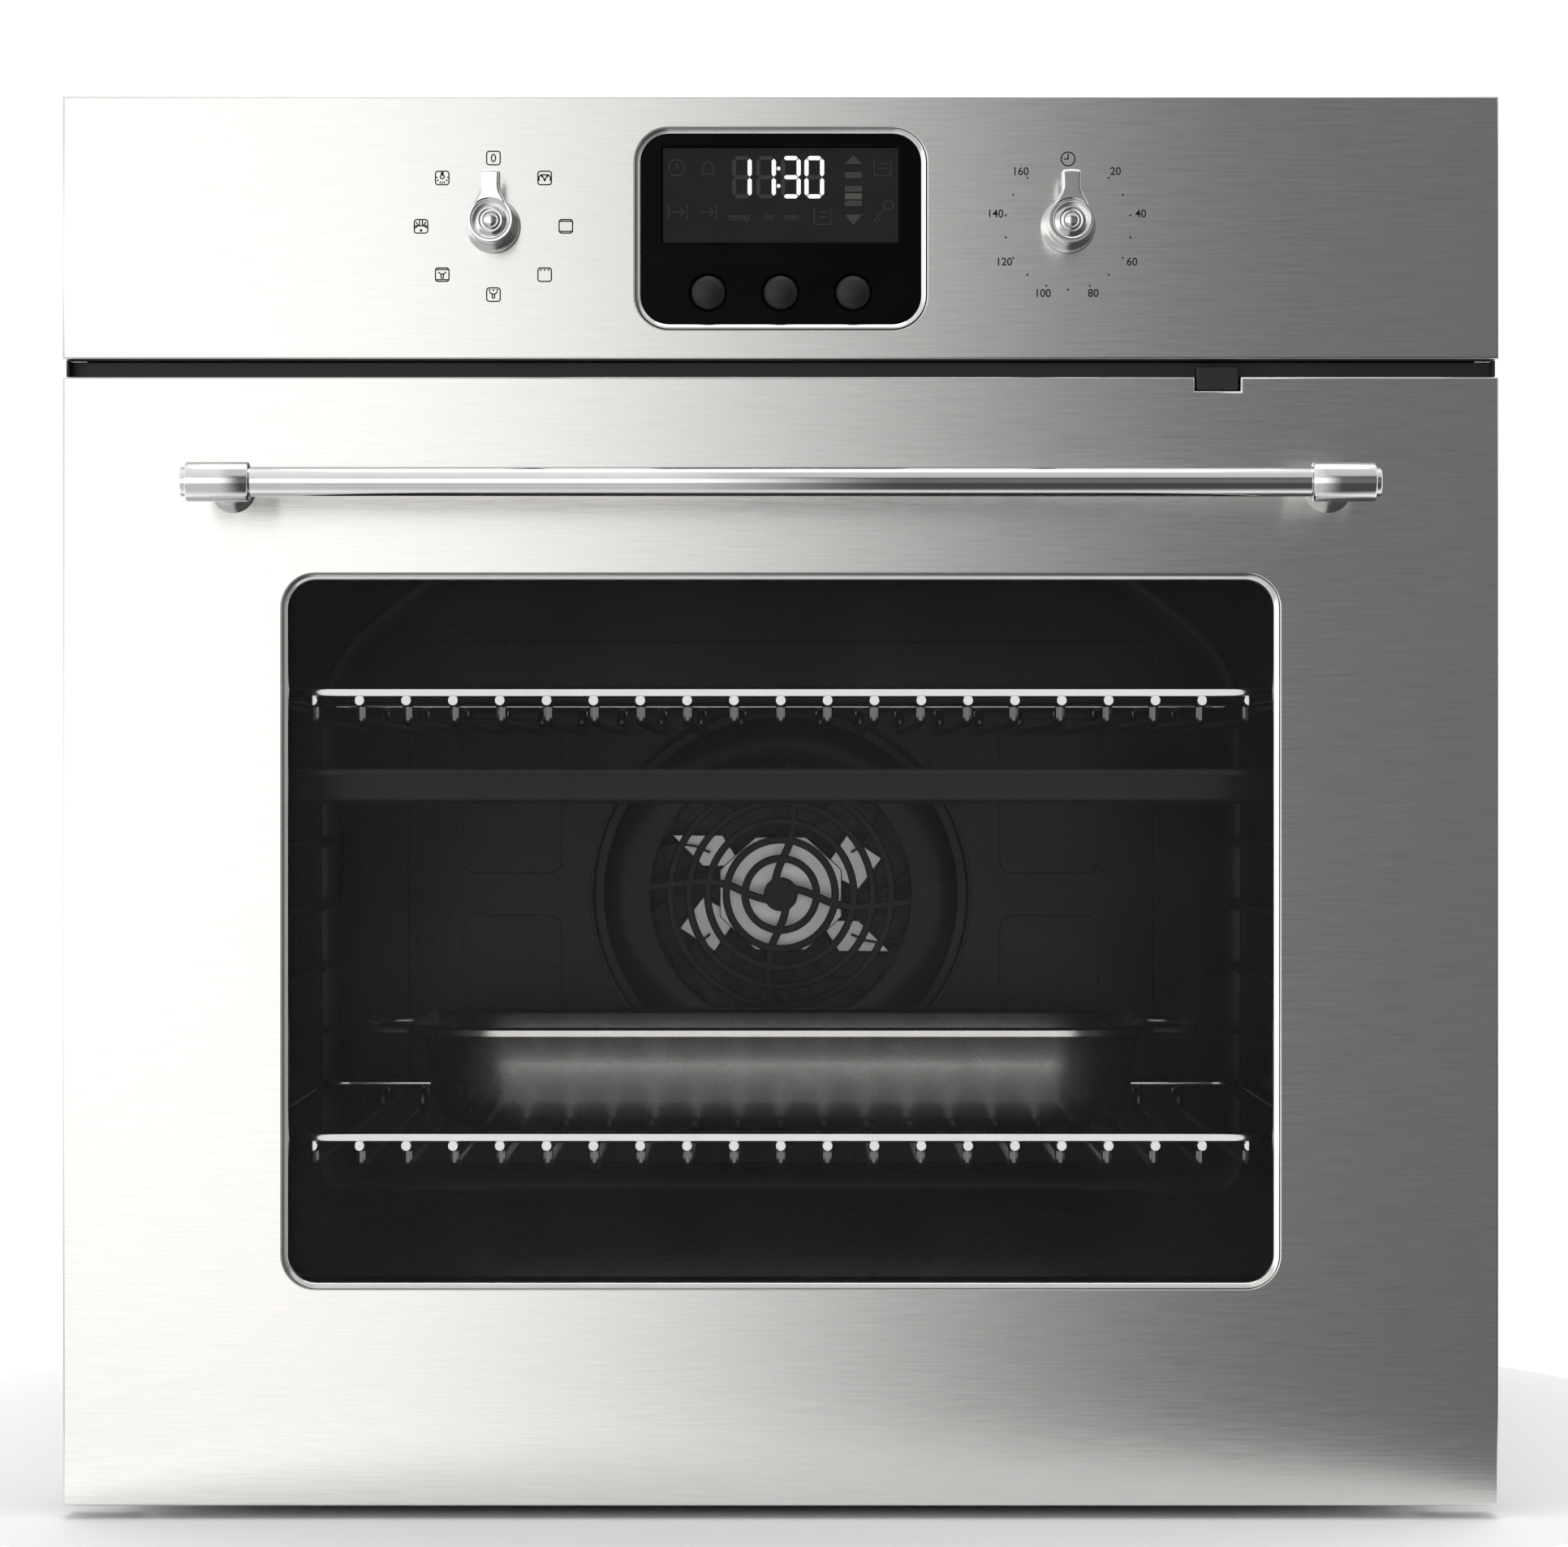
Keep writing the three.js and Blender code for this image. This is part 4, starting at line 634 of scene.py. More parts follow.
def make_bracket(side):
    """Sleeve round the end of the bar, on its flared post."""
    low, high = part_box(f"handle_bracket_{side}")
    x = (low.x + high.x) / 2
    half = (high.x - low.x) / 2
    outer = BAR_Y - low.y
    sleeve = [(mm(6.2), -half + mm(1)), (mm(6.3), -half), (outer - mm(0.7), -half),
              (outer - mm(0.15), -half + mm(0.35)),
              (outer, -half + mm(0.9)), (outer, half - mm(0.9)), (outer - mm(0.15), half - mm(0.35)),
              (outer - mm(0.7), half), (mm(6.3), half), (mm(6.2), half - mm(1))]
    reach = FRONT - BAR_Y - mm(0.2)
    post = [(0, 0), (mm(9.2), 0), (mm(9.5), -mm(0.4)), (mm(9.3), -mm(1.2)), (mm(8.2), -mm(3.2)),
            (mm(7.0), -mm(6.2)),
            (mm(6.2), -mm(10.5)), (mm(5.8), -mm(17)), (mm(5.6), -mm(26)), (mm(5.6), -reach)]
    meshes = [turned_mesh(sleeve, (x, BAR_Y, BAR_Z), "X", 64),
              turned_mesh(post, (x, FRONT - mm(0.2), BAR_Z), "Y", 48)]
    piece = join_meshes(f"handle_bracket_{side}_chrome", meshes)
    finish_piece(piece, CHROME, "door", 50)
    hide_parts(f"handle_bracket_{side}")


NECK_HALF = mm(3.8)
NECK_TIP = mm(20.3)
HEAD_RADIUS = mm(9.3)
HEAD_DEPTH = mm(7)


def teardrop(x, z):
    """Knob outline: a round head whose neck points up, with a soft joint between them."""
    lean = math.radians(59)
    start = Vector((HEAD_RADIUS * math.sin(lean), HEAD_RADIUS * math.cos(lean)))
    waist = Vector((NECK_HALF, mm(12.4)))
    tip = Vector((NECK_HALF + mm(0.3), NECK_TIP))
    top = Vector((0, NECK_TIP + mm(0.3)))
    side = rounded([start, waist, tip], mm(2.2), 5)[:-1] + rounded([waist, tip, top], mm(1.4), 4)[1:]
    turn = []
    for degrees in range(301, 58, -6):
        angle = math.radians(degrees)
        turn.append(Vector((HEAD_RADIUS * math.sin(angle), HEAD_RADIUS * math.cos(angle))))
    right = [(x + p.x, z + p.y) for p in side]
    left = [(x - p.x, z + p.y) for p in reversed(side)]
    return right + left[1:] + [(x + p.x, z + p.y) for p in turn[1:-1]]


def make_knob(side, centre_x, body):
    """Polished dial: a teardrop head with a hollowed face, on a flared skirt and a spindle."""
    low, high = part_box(f"{side}_knob")
    front = low.y
    bowl = in_mm((8.1, 1.6), (8.1, 0.7), (8.0, 0.3), (7.75, 0.03), (7.45, 0.15), (7.1, 0.7), (6.6, 1.7),
                 (5.8, 2.9), (4.9, 3.7), (4.1, 3.95), (3.5, 3.7), (3.25, 2.9), (3.1, 2.1), (2.5, 1.6),
                 (1.3, 1.4), (0, 1.35))
    reach = FRONT - front
    skirt = [(mm(8.8), HEAD_DEPTH - mm(1)), (mm(9.0), HEAD_DEPTH + mm(1)), (mm(9.0), HEAD_DEPTH + mm(3)),
             (mm(9.0), reach - mm(9)), (mm(9.3), reach - mm(5.5)), (mm(9.9), reach - mm(3.2)),
             (mm(10.8), reach - mm(1.6)), (mm(11.3), reach - mm(1.0)), (mm(11.2), reach - mm(0.5)),
             (0, reach - mm(0.5))]
    spindle = [(mm(3), reach - mm(1)), (mm(3), high.y - front - mm(0.6)), (mm(2.4), high.y - front),
               (0, high.y - front)]
    centre = (centre_x, front, DIAL_Z)
    bowl_hole = circle(mm(7.9), centre_x, DIAL_Z, 64)
    head = plate_mesh(teardrop(centre_x, DIAL_Z), [bowl_hole], front + mm(0.25), front + HEAD_DEPTH,
                      mm(1.1))
    meshes = [head]
    for profile, segments in [(bowl, 64), (skirt, 64), (spindle, 20)]:
        meshes.append(turned_mesh(profile, centre, "Y", segments))
    piece = join_meshes(f"{side}_knob_chrome", meshes)
    finish_piece(piece, CHROME, body, 60)
    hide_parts(f"{side}_knob")


# Which of the seven strokes each figure lights: top, upper right, lower right, bottom,
# lower left, upper left, middle.
STROKES = {"1": "0110000", "3": "1111001", "0": "1111110"}
STROKE = mm(1.75)
FIGURE_WIDTH = mm(8.2)
FIGURE_HEIGHT = mm(17.6)


def stroke_outline(x, z, length, upright):
    """One stroke with pointed ends."""
    half = length / 2 - mm(0.25)
    thick = STROKE / 2
    line = [(-half, 0), (-half + thick, -thick), (half - thick, -thick), (half, 0),
            (half - thick, thick), (-half + thick, thick)]
    if upright:
        line = [(-v, u) for u, v in line]
    return [(x + u, z + v) for u, v in line]


def figure_outlines(x, z, lit):
    w = FIGURE_WIDTH / 2 - STROKE / 2
    h = FIGURE_HEIGHT / 2 - STROKE / 2
    places = [(0, h, False), (w, h / 2, True), (w, -h / 2, True), (0, -h, False), (-w, -h / 2, True),
              (-w, h / 2, True), (0, 0, False)]
    out = []
    for (u, v, upright), on in zip(places, lit):
        if on == "1":
            out.append(stroke_outline(x + u, z + v, h if upright else 2 * w, upright))
    return out


def printed(name, outlines, material, y, body, lift=0.06):
    """Thin raised marks: each outline is a list of points, or a pair of an outline and its holes."""
    meshes = []
    for item in outlines:
        outline, holes = item if isinstance(item, tuple) else (item, [])
        meshes.append(plate_mesh(outline, holes, y - mm(lift), y + mm(0.02), mm(0.01)))
    piece = join_meshes(name, meshes)
    return finish_piece(piece, material, body, 0)


def box_outline(x, z, width, height):
    left, right = x - width / 2, x + width / 2
    low, high = z - height / 2, z + height / 2
    return [(left, low), (right, low), (right, high), (left, high)]


def ring_outline(x, z, radius, stroke, steps=32):
    return (circle(radius, x, z, steps), [circle(radius - stroke, x, z, steps)])


def frame_outline(x, z, width, height, radius, stroke):
    outer = round_rect(width, height, radius, x, z, 4)
    inner = round_rect(width - 2 * stroke, height - 2 * stroke, max(radius - stroke, mm(0.1)), x, z, 4)
    return (outer, [inner])


def line_outline(x0, z0, x1, z1, stroke):
    along = Vector((x1 - x0, z1 - z0))
    across = Vector((-along.y, along.x)).normalized() * stroke / 2
    return [(x0 + across.x, z0 + across.y), (x0 - across.x, z0 - across.y),
            (x1 - across.x, z1 - across.y), (x1 + across.x, z1 + across.y)]


def make_display():
    fascia_y = fascia_low.y
    margin = Vector((mm(0.2), 0, mm(0.2)))
    holes = [rectangle(screen_low - margin, screen_high + margin)]
    for name in ("left", "centre", "right"):
        low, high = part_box(f"button_{name}")
        holes.append(circle(mm(7.7), (low.x + high.x) / 2, (low.z + high.z) / 2, 40))
    face = plate_mesh(display_outline(-mm(1.3)), holes, fascia_y, fascia_high.y, mm(0.5))
    lip = plate_mesh(display_outline(FASCIA_LIP - mm(0.1)), [display_outline(-mm(3))],
                     fascia_y + mm(1.6), fascia_high.y, mm(0.3))
    fascia = join_meshes("display_fascia_glass", [face, lip])
    finish_piece(fascia, FASCIA, "chassis")
    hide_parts("display_fascia")
    screen = plate("display_screen_glass", rectangle(screen_low, screen_high), [], screen_low.y,
                   screen_high.y, mm(0.25))
    finish_piece(screen, SCREEN, "chassis")
    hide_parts("display_screen")
    make_clock()
    for name in ("left", "centre", "right"):
        make_button(name)


CLOCK_Z = mm(555.5)
FIGURE_X = [mm(-16.1), mm(-6.1), mm(4.2), mm(13.9)]
LEVEL_X = mm(30.1)


# Faint signs beside the clock, each a few strokes in millimetres about its own centre.
BELL = [[(-3, -2.6), (3, -2.6)],
        [(-2.6, -2.6), (-1.8, -0.6), (-1.8, 1.2), (0, 3), (1.8, 1.2), (1.8, -0.6), (2.6, -2.6)]]
POT = [[(-3.4, 3.4), (-3.4, -3.4), (3.4, -3.4), (3.4, 3.4)], [(-1.8, 1.6), (1.8, 1.6)],
       [(-1.8, -0.4), (1.8, -0.4)]]
SPAN_ARROW = [[(-3.8, -3), (-3.8, 3)], [(3.8, -3), (3.8, 3)], [(-3, 0), (3, 0)],
              [(0.6, -2), (3, 0), (0.6, 2)]]
END_ARROW = [[(-3, 0), (2.6, 0)], [(0.2, -2), (2.6, 0), (0.2, 2)], [(3.4, -3), (3.4, 3)]]
KEY = [[(-4, -4.4), (0.3, 0.4)], [(-4, -4.4), (-2.6, -5.2)], [(-3, -3.2), (-1.8, -4)]]


def path_outlines(x, z, paths, stroke):
    """Strokes along each path, whose points are in millimetres about x and z."""
    out = []
    for path in paths:
        for (x0, z0), (x1, z1) in zip(path, path[1:]):
            out.append(line_outline(x + mm(x0), z + mm(z0), x + mm(x1), z + mm(z1), stroke))
    return out


def make_clock():
    """Clock figures over their unlit strokes, the level bars and the small signs round them."""
    y = screen_low.y
    lit = []
    for x, figure in zip(FIGURE_X, "1130"):
        lit += figure_outlines(x, CLOCK_Z, STROKES[figure])
    for drop in (mm(3.6), mm(-3.6)):
        lit.append(circle(mm(0.8), mm(-0.9), CLOCK_Z + drop, 20))
    printed("clock_figures", lit, DIGIT, y, "chassis", 0.10)
    unlit = []
    for x in FIGURE_X[:2]:
        unlit += figure_outlines(x, CLOCK_Z, "1001111")
    unlit += figure_outlines(FIGURE_X[2], CLOCK_Z, "0000110")
    unlit += figure_outlines(FIGURE_X[3], CLOCK_Z, "0000001")
    printed("clock_unlit_strokes", unlit, GHOST, y, "chassis", 0.08)
    levels = [box_outline(LEVEL_X, mm(z), mm(7), mm(2.4)) for z in (556.4, 550.7, 544.7)]
    levels.append([(LEVEL_X - mm(3.6), mm(561)), (LEVEL_X + mm(3.6), mm(561)), (LEVEL_X, mm(564.6))])
    levels.append([(LEVEL_X - mm(3.6), mm(540)), (LEVEL_X, mm(535.7)), (LEVEL_X + mm(3.6), mm(540))])
    printed("level_marks", levels, SIGN, y, "chassis", 0.08)
    printed("level_set", [box_outline(LEVEL_X, mm(547.6), mm(7), mm(2.4))], AMBER, y, "chassis",
            0.09)
    signs = path_outlines(mm(-43.2), mm(559.4), [[(0, 0), (0, 2.2)], [(0, 0), (1.6, 0)]], mm(0.4))
    signs.append(ring_outline(mm(-43.2), mm(559.4), mm(3.5), mm(0.4)))
    signs += path_outlines(mm(-30.1), mm(559.4), BELL, mm(0.4))
    signs += path_outlines(mm(42.2), mm(559.6), POT, mm(0.4))
    signs += path_outlines(mm(-42.7), mm(541.1), SPAN_ARROW, mm(0.4))
    signs += path_outlines(mm(-30.1), mm(541.1), END_ARROW, mm(0.4))
    signs += path_outlines(mm(17.3), mm(539.4), POT, mm(0.4))
    signs += path_outlines(mm(42.8), mm(542), KEY, mm(0.4))
    signs.append(ring_outline(mm(44.6), mm(544), mm(2.2), mm(0.4)))
    printed("display_signs", signs, GHOST, y, "chassis", 0.07)
    words = [text_mesh(word, mm(x), mm(539), mm(4.4), y) for word,
             x in [("temp", -17.1), ("hr", -4.5), ("min", 4.4)]]
    finish_piece(join_meshes("display_words", words), GHOST, "chassis", 0)


def make_button(name):
    """Domed button with a soft shoulder."""
    low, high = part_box(f"button_{name}")
    x = (low.x + high.x) / 2
    z = (low.z + high.z) / 2
    line = [(0, 0), (mm(1.6), mm(0.05)), (mm(3.2), mm(0.3)), (mm(4.8), mm(0.8)), (mm(6.0), mm(1.45)),
            (mm(6.8), mm(2.15)), (mm(7.2), mm(2.8)), (mm(7.4), mm(3.6)), (mm(7.4), mm(6.2)),
            (mm(7.0), mm(6.4)), (mm(2), mm(6.4)), (mm(2), high.y - low.y - mm(0.2)), (0, high.y - low.y)]
    piece = add_object(f"button_{name}_cap", turned_mesh(line, (x, low.y, z), "Y", 48))
    finish_piece(piece, BUTTON, f"{name}_button", 50)
    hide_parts(f"button_{name}")


# ------------------------------------------------------------------ printed signs round the dials

SIGN_SIZE = mm(6.1)
SIGN_STROKE = mm(0.52)
SIGN_SPREAD = mm(30.0)                   # across, from the axis of the dial
SIGN_RISE = mm(28.3)                       # up and down

# Strokes of the signs, in millimetres about the middle of each frame.
BOTH_HEATERS = [[(-2.6, 2.1), (2.6, 2.1)], [(-2.6, -2.1), (2.6, -2.1)]]
GRILL_AND_FAN = [[(-2.3, -1.2), (-2.4, 0.4), (-1.6, 1.3), (-0.9, 0.3)],
                 [(2.3, -1.2), (2.4, 0.4), (1.6, 1.3), (0.9, 0.3)],
                 [(-1.2, 1.2), (0, -0.9), (1.2, 1.2)], [(-1.8, 1.3), (1.8, 1.3)]]
FAN_BLADES = [[(-1.7, 1.1), (-0.5, 0.2), (-0.5, -1.4), (0.5, -1.4), (0.5, 0.2), (1.7, 1.1)],
              [(-0.5, 0.2), (0.5, 0.2)]]
DEFROST = [[(-0.6, 0.3), (-0.6, 2.6)], [(0.6, 0.3), (0.6, 2.6)], [(-1.0, 0.3), (-2.2, 1.9)],
           [(1.0, 0.3), (2.2, 1.9)],
           [(-2.7, 0.2), (2.7, 0.2)], [(-2.8, -0.9), (-1.4, 0.1)], [(2.8, -0.9), (1.4, 0.1)]]
LAMP_RAYS = [[(-2.9, 0.2), (-1.9, 0.2)], [(2.9, 0.2), (1.9, 0.2)], [(-2.2, -1.3), (-1.5, -0.7)],
             [(2.2, -1.3), (1.5, -0.7)],
             [(-1.0, -2.2), (-0.7, -1.4)], [(1.0, -2.2), (0.7, -1.4)], [(0, -2.4), (0, -1.6)]]


def strokes(x, z, paths):
    return path_outlines(x, z, paths, SIGN_STROKE)


def flames(x, z, rise):
    """Three small triangles pointing down from the top of the frame."""
    out = []
    top = z + mm(rise)
    for step in (-1.6, 0, 1.6):
        out.append([(x + mm(step - 0.6), top), (x + mm(step), z + mm(rise - 0.95)),
                    (x + mm(step + 0.6), top)])
    return out


def lamp_sign(x, z):
    cap = box_outline(x, z + mm(1.95), mm(1.3), mm(1.0))
    return [ring_outline(x, z + mm(0.5), mm(1.05), SIGN_STROKE, 20), cap, *strokes(x, z, LAMP_RAYS)]


def defrost_sign(x, z):
    return [ring_outline(x, z - mm(1.7), mm(0.6), SIGN_STROKE, 16), *strokes(x, z, DEFROST)]


def oval(x, z, half_width, half_height):
    """Outline of an oval."""
    return [(x + half_width * u, z + half_height * v) for u, v in circle(1.0, 0, 0, 24)]


def zero_sign(x, z):
    return [(oval(x, z, mm(1.15), mm(1.75)), [oval(x, z, mm(0.6), mm(1.2))])]


def make_selector_signs():
    """Eight framed signs, one every 45 degrees round the left dial."""
    signs = [
        zero_sign,
        lambda x, z: strokes(x, z, GRILL_AND_FAN) + [circle(mm(0.5), x, z - mm(0.9), 12)],
        lambda x, z: strokes(x, z, BOTH_HEATERS),
        lambda x, z: flames(x, z, 2.3),
        lambda x, z: flames(x, z, 2.2) + strokes(x, z, FAN_BLADES),
        lambda x, z: strokes(x, z, BOTH_HEATERS + FAN_BLADES),
        defrost_sign,
        lamp_sign,
    ]
    outlines = []
    for i, sign in enumerate(signs):
        angle = math.radians(45 * i)
        x = -DIAL_X + SIGN_SPREAD * math.sin(angle)
        z = DIAL_Z + SIGN_RISE * math.cos(angle)
        outlines.append(frame_outline(x, z, SIGN_SIZE, SIGN_SIZE, mm(1.3), SIGN_STROKE))
        outlines += sign(x, z)
    printed("selector_signs", outlines, INK, FRONT, "chassis")


def make_timer_marks():
    """Minutes round the right dial: a clock, a dot every 20 degrees and eight figures."""
    clock_z = DIAL_Z + mm(27.9)
    outlines = [ring_outline(DIAL_X, clock_z, mm(3.1), SIGN_STROKE),
                line_outline(DIAL_X, clock_z - mm(0.2), DIAL_X, clock_z + mm(2.2), SIGN_STROKE),
                line_outline(DIAL_X + mm(0.2), clock_z, DIAL_X - mm(1.7), clock_z, SIGN_STROKE)]
    for angle in range(40, 321, 20):
        turn = math.radians(angle)
        x = DIAL_X + mm(26.2) * math.sin(turn)
        outlines.append(circle(mm(0.42), x, DIAL_Z + mm(26.2) * math.cos(turn), 12))
    printed("timer_marks", outlines, INK, FRONT, "chassis")
    meshes = []
    for i in range(1, 9):
        turn = math.radians(40 * i)
        x = DIAL_X + mm(30.6) * math.sin(turn)
        z = DIAL_Z + mm(29.6) * math.cos(turn)
        meshes.append(text_mesh(str(20 * i), x, z, mm(4.6)))
    figures = join_meshes("timer_figures", meshes)
    finish_piece(figures, INK, "chassis", 0)


def text_mesh(words, x, z, size, y=FRONT):
    curve = bpy.data.curves.new("figures", "FONT")
    curve.body = words
    curve.size = size
    curve.align_x = "CENTER"
    curve.align_y = "CENTER"
    curve.extrude = mm(0.03)
    curve.offset = mm(0.05)
    mesh = mesh_of(add_object("figures", curve))
    mesh.transform(Matrix.Rotation(math.pi / 2, 4, "X"))
    mesh.transform(Matrix.Translation((x, y - mm(0.02), z)))
    return mesh


def make_vent():
    """Black channel over the door, and the lever of the child lock in its notch."""
    face = plate_mesh(rectangle(trim_low, trim_high), [], behind(11), trim_high.y, mm(0.4))
    ends = []
    for side in (-1, 1):
        x = side * (trim_high.x - mm(0.6))
        cheek = box_outline(x, (trim_low.z + trim_high.z) / 2, mm(1.2), trim_high.z - trim_low.z)
        ends.append(plate_mesh(cheek, [], trim_low.y, behind(12), mm(0.3)))
    piece = join_meshes("vent_trim_black", [face, *ends])
    finish_piece(piece, PLASTIC, "chassis")
    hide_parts("vent_trim")
    x = (lock_low.x + lock_high.x) / 2
    width = lock_high.x - lock_low.x
    middle = (lock_low.z + lock_high.z) / 2
    face = round_rect(width - mm(0.6), lock_high.z - lock_low.z, mm(1.0), x, middle, 4)
    tab = plate_mesh(face, [], lock_low.y, lock_low.y + mm(2), mm(0.4))
    strip = box_outline(x, lock_high.z - mm(1), width - mm(1), mm(2))
    arm = plate_mesh(strip, [], lock_low.y + mm(1), lock_high.y - mm(0.6), mm(0.3))
    end = lock_high.x - x
    line = [(0, -end), (mm(1.4), -end), (mm(1.6), -end + mm(0.3)), (mm(1.6), end - mm(0.3)),
            (mm(1.4), end), (0, end)]
    pin = turned_mesh(line, (x, lock_high.y - mm(1.6), lock_high.z - mm(1.0)), "X", 20)
    lever = join_meshes("child_lock_lever_black", [tab, arm, pin])
    finish_piece(lever, PLASTIC, "child_lock_lever")
    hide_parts("child_lock")


make_handle()
make_knob("selector", -DIAL_X, "selector_dial")
make_knob("timer", DIAL_X, "timer_dial")
make_display()
make_selector_signs()
make_timer_marks()
make_vent()


# ------------------------------------------------------------------ inside the oven

RACK_WIRE = mm(2.3)
ROD_COUNT = 21
ROD_PITCH = mm(20)
ROD_DROP = mm(12.5)


def make_rack(node, body):
    """Wire rack: a closed rail frame and rods whose ends show under the front rail."""
    low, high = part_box(node)
    top = high.z - RACK_WIRE
    x = high.x - RACK_WIRE
    front = low.y + RACK_WIRE - mm(0.5)
    back = high.y - RACK_WIRE
    frame_line = [(0, front, top), (x, front, top), (x, back, top), (-x, back, top), (-x, front, top),
                  (0, front, top)]
    meshes = [wire_mesh([rounded(frame_line, mm(14), 6)[:-1]], RACK_WIRE, True, 4)]
    rods = []
    under = top - RACK_WIRE * 1.5
    down = top - ROD_DROP
    for i in range(ROD_COUNT):
        at = (i - (ROD_COUNT - 1) / 2) * ROD_PITCH
        line = [(at, front - mm(1.6), under), (at, front + mm(9.5), under), (at, front + mm(9.5), down),
                (at, back - mm(9.5), down), (at, back - mm(9.5), under), (at, back + mm(1.6), under)]
        rods.append(rounded(line, mm(4), 4))
        for end in (line[0], line[-1]):
            outward = -1 if end == line[0] else 1
            meshes.append(rod_end(end, outward))
    rails = join_meshes(f"{node}_rails", meshes)
    finish_piece(rails, WIRE, body)
    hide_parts(node)
    # Rod bodies take the darker copy of the wire as painted shade; their tips stay with the bright rails.
    grid = add_object(f"{node}_rods", wire_mesh(rods, RACK_WIRE * 0.96, False, 3))
    finish_piece(grid, ROD_STEEL_PAINTED_SHADE, body)
    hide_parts(f"{node}_grid")


def rod_end(place, outward):
    """Rounded tip of a rod."""
    line = [(0, outward * mm(0.9)), (RACK_WIRE * 0.55, outward * mm(0.75)),
            (RACK_WIRE * 0.9, outward * mm(0.3)),
            (RACK_WIRE, -outward * mm(0.3)), (RACK_WIRE, -outward * mm(1.2)), (0, -outward * mm(1.2))]
    return turned_mesh(line, place, "Y", 16)


def swept_section(rings, closed_front=False, closed_back=False):
    """Mesh through rings of points that all have the same count."""
    work = bmesh.new()
    made = [[work.verts.new(point) for point in ring] for ring in rings]
    for low, high in zip(made, made[1:]):
        for i in range(len(low)):
            j = (i + 1) % len(low)
            work.faces.new((low[i], low[j], high[j], high[i]))
    if closed_front:
        work.faces.new(made[0])
    if closed_back:
        work.faces.new(made[-1])
    bmesh.ops.recalc_face_normals(work, faces=work.faces)
    mesh = bpy.data.meshes.new("swept")
    work.to_mesh(mesh)
    work.free()
    return mesh


def in_steps(steps):
    """Inset, drop and corner radius of each ring of a tray's wall, given in millimetres."""
    return [(mm(inset), mm(drop), mm(radius)) for inset, drop, radius in steps]


def make_tray():
    """Shallow enamel tray with a rolled rim and rounded corners."""
    low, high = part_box("baking_tray")
    width = high.x - low.x
    length = high.y - low.y
    middle = (low.y + high.y) / 2
    height = high.z - low.z
    foot = height / mm(1)
    steps = [(0, 2.6, 4), (0.2, 0.8, 4), (1.4, 0, 5), (10, 0, 8), (11.2, 1, 9), (12.5, foot - 3, 14),
             (15.5, foot - 0.6, 16), (19, foot - 1.2, 18)]
    rings = []
    for inset, drop, radius in in_steps(steps):
        outline = round_rect(width - 2 * inset, length - 2 * inset, radius, 0, middle, 6)
        rings.append([(x, y, high.z - drop) for x, y in outline])
    piece = add_object("baking_tray_enamel", swept_section(rings, False, True))
    thicken(piece, 1.0)
    finish_piece(piece, TRAY_ENAMEL, "tray", 50)
    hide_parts("baking_tray")


def make_pan():
    """Stainless roasting pan: rounded walls, a turned rim and two wire handles."""
    low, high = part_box("roasting_pan")
    handle_reach = mm(30.3)
    width = high.x - low.x - 2 * handle_reach
    length = high.y - low.y - mm(12)
    middle = (low.y + high.y) / 2
    height = high.z - low.z
    foot = height / mm(1)
    steps = [(-5.8, 3.5, 48), (-6, 1, 48), (-4.5, 0, 47), (-1, 0.4, 45), (0.4, 2.5, 44),
             (3, foot * 0.35, 43),
             (5.8, foot * 0.70, 42), (7.8, foot * 0.86, 41), (11.2, foot * 0.955, 39), (17, foot - 0.2, 36),
             (26, foot - 0.2, 32)]
    rings = []
    for inset, drop, radius in in_steps(steps):
        outline = round_rect(width - 2 * inset, length - 2 * inset, radius, 0, middle, 12)
        rings.append([(x, y, high.z - drop) for x, y in outline])
    body = add_object("pan_body", swept_section(rings, False, True))
    thicken(body, 1.1)
    meshes = [mesh_from(body)]
    grips = []
    for side in (-1, 1):
        inner = side * (width / 2 + mm(4.5))
        outer = side * (high.x - mm(3.2))
        z = high.z - mm(3.4)
        line = [(inner, middle - mm(44), z), (outer, middle - mm(37), z), (outer, middle + mm(37), z),
                (inner, middle + mm(44), z)]
        grips.append(rounded(line, mm(16), 8))
    meshes.append(wire_mesh(grips, mm(2.6), False, 4))
    piece = join_meshes("roasting_pan_steel", meshes)
    finish_piece(piece, PAN_STEEL, "pan", 50)
    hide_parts("roasting_pan")


def mesh_from(piece):
    """The mesh of an object with its modifiers applied; the object is removed."""
    depsgraph = bpy.context.evaluated_depsgraph_get()
    mesh = bpy.data.meshes.new_from_object(piece.evaluated_get(depsgraph))
    bpy.data.objects.remove(piece)
    return mesh


FLOOR_CORNER = mm(12)
SLOPE_RISE = mm(77)
CEILING_HALF = mm(138)
CAVITY_WALL = mm(1.5)


def cavity_outline(inset):
    """Cross-section of the oven: rounded floor corners and sloping top corners."""
    half = cavity_high.x - CAVITY_WALL - inset
    floor = cavity_low.z + CAVITY_WALL + inset
    top = cavity_high.z - CAVITY_WALL - inset
    shoulder = cavity_high.z - CAVITY_WALL - SLOPE_RISE - inset * 0.4
    flat = CEILING_HALF - inset * 0.4
    line = [(0, floor), (half, floor), (half, shoulder), (flat, top), (-flat, top), (-half, shoulder),
            (-half, floor), (0, floor)]
    points = [Vector(point) for point in line]
    radii = [None, FLOOR_CORNER, mm(34), mm(34), mm(34), mm(34), FLOOR_CORNER, None]
    out = []
    for i in range(1, len(points) - 1):
        corner = rounded(points[i - 1:i + 2], radii[i], 6)
        out.extend(corner[1:-1])
    return [(p.x, p.y) for p in out]


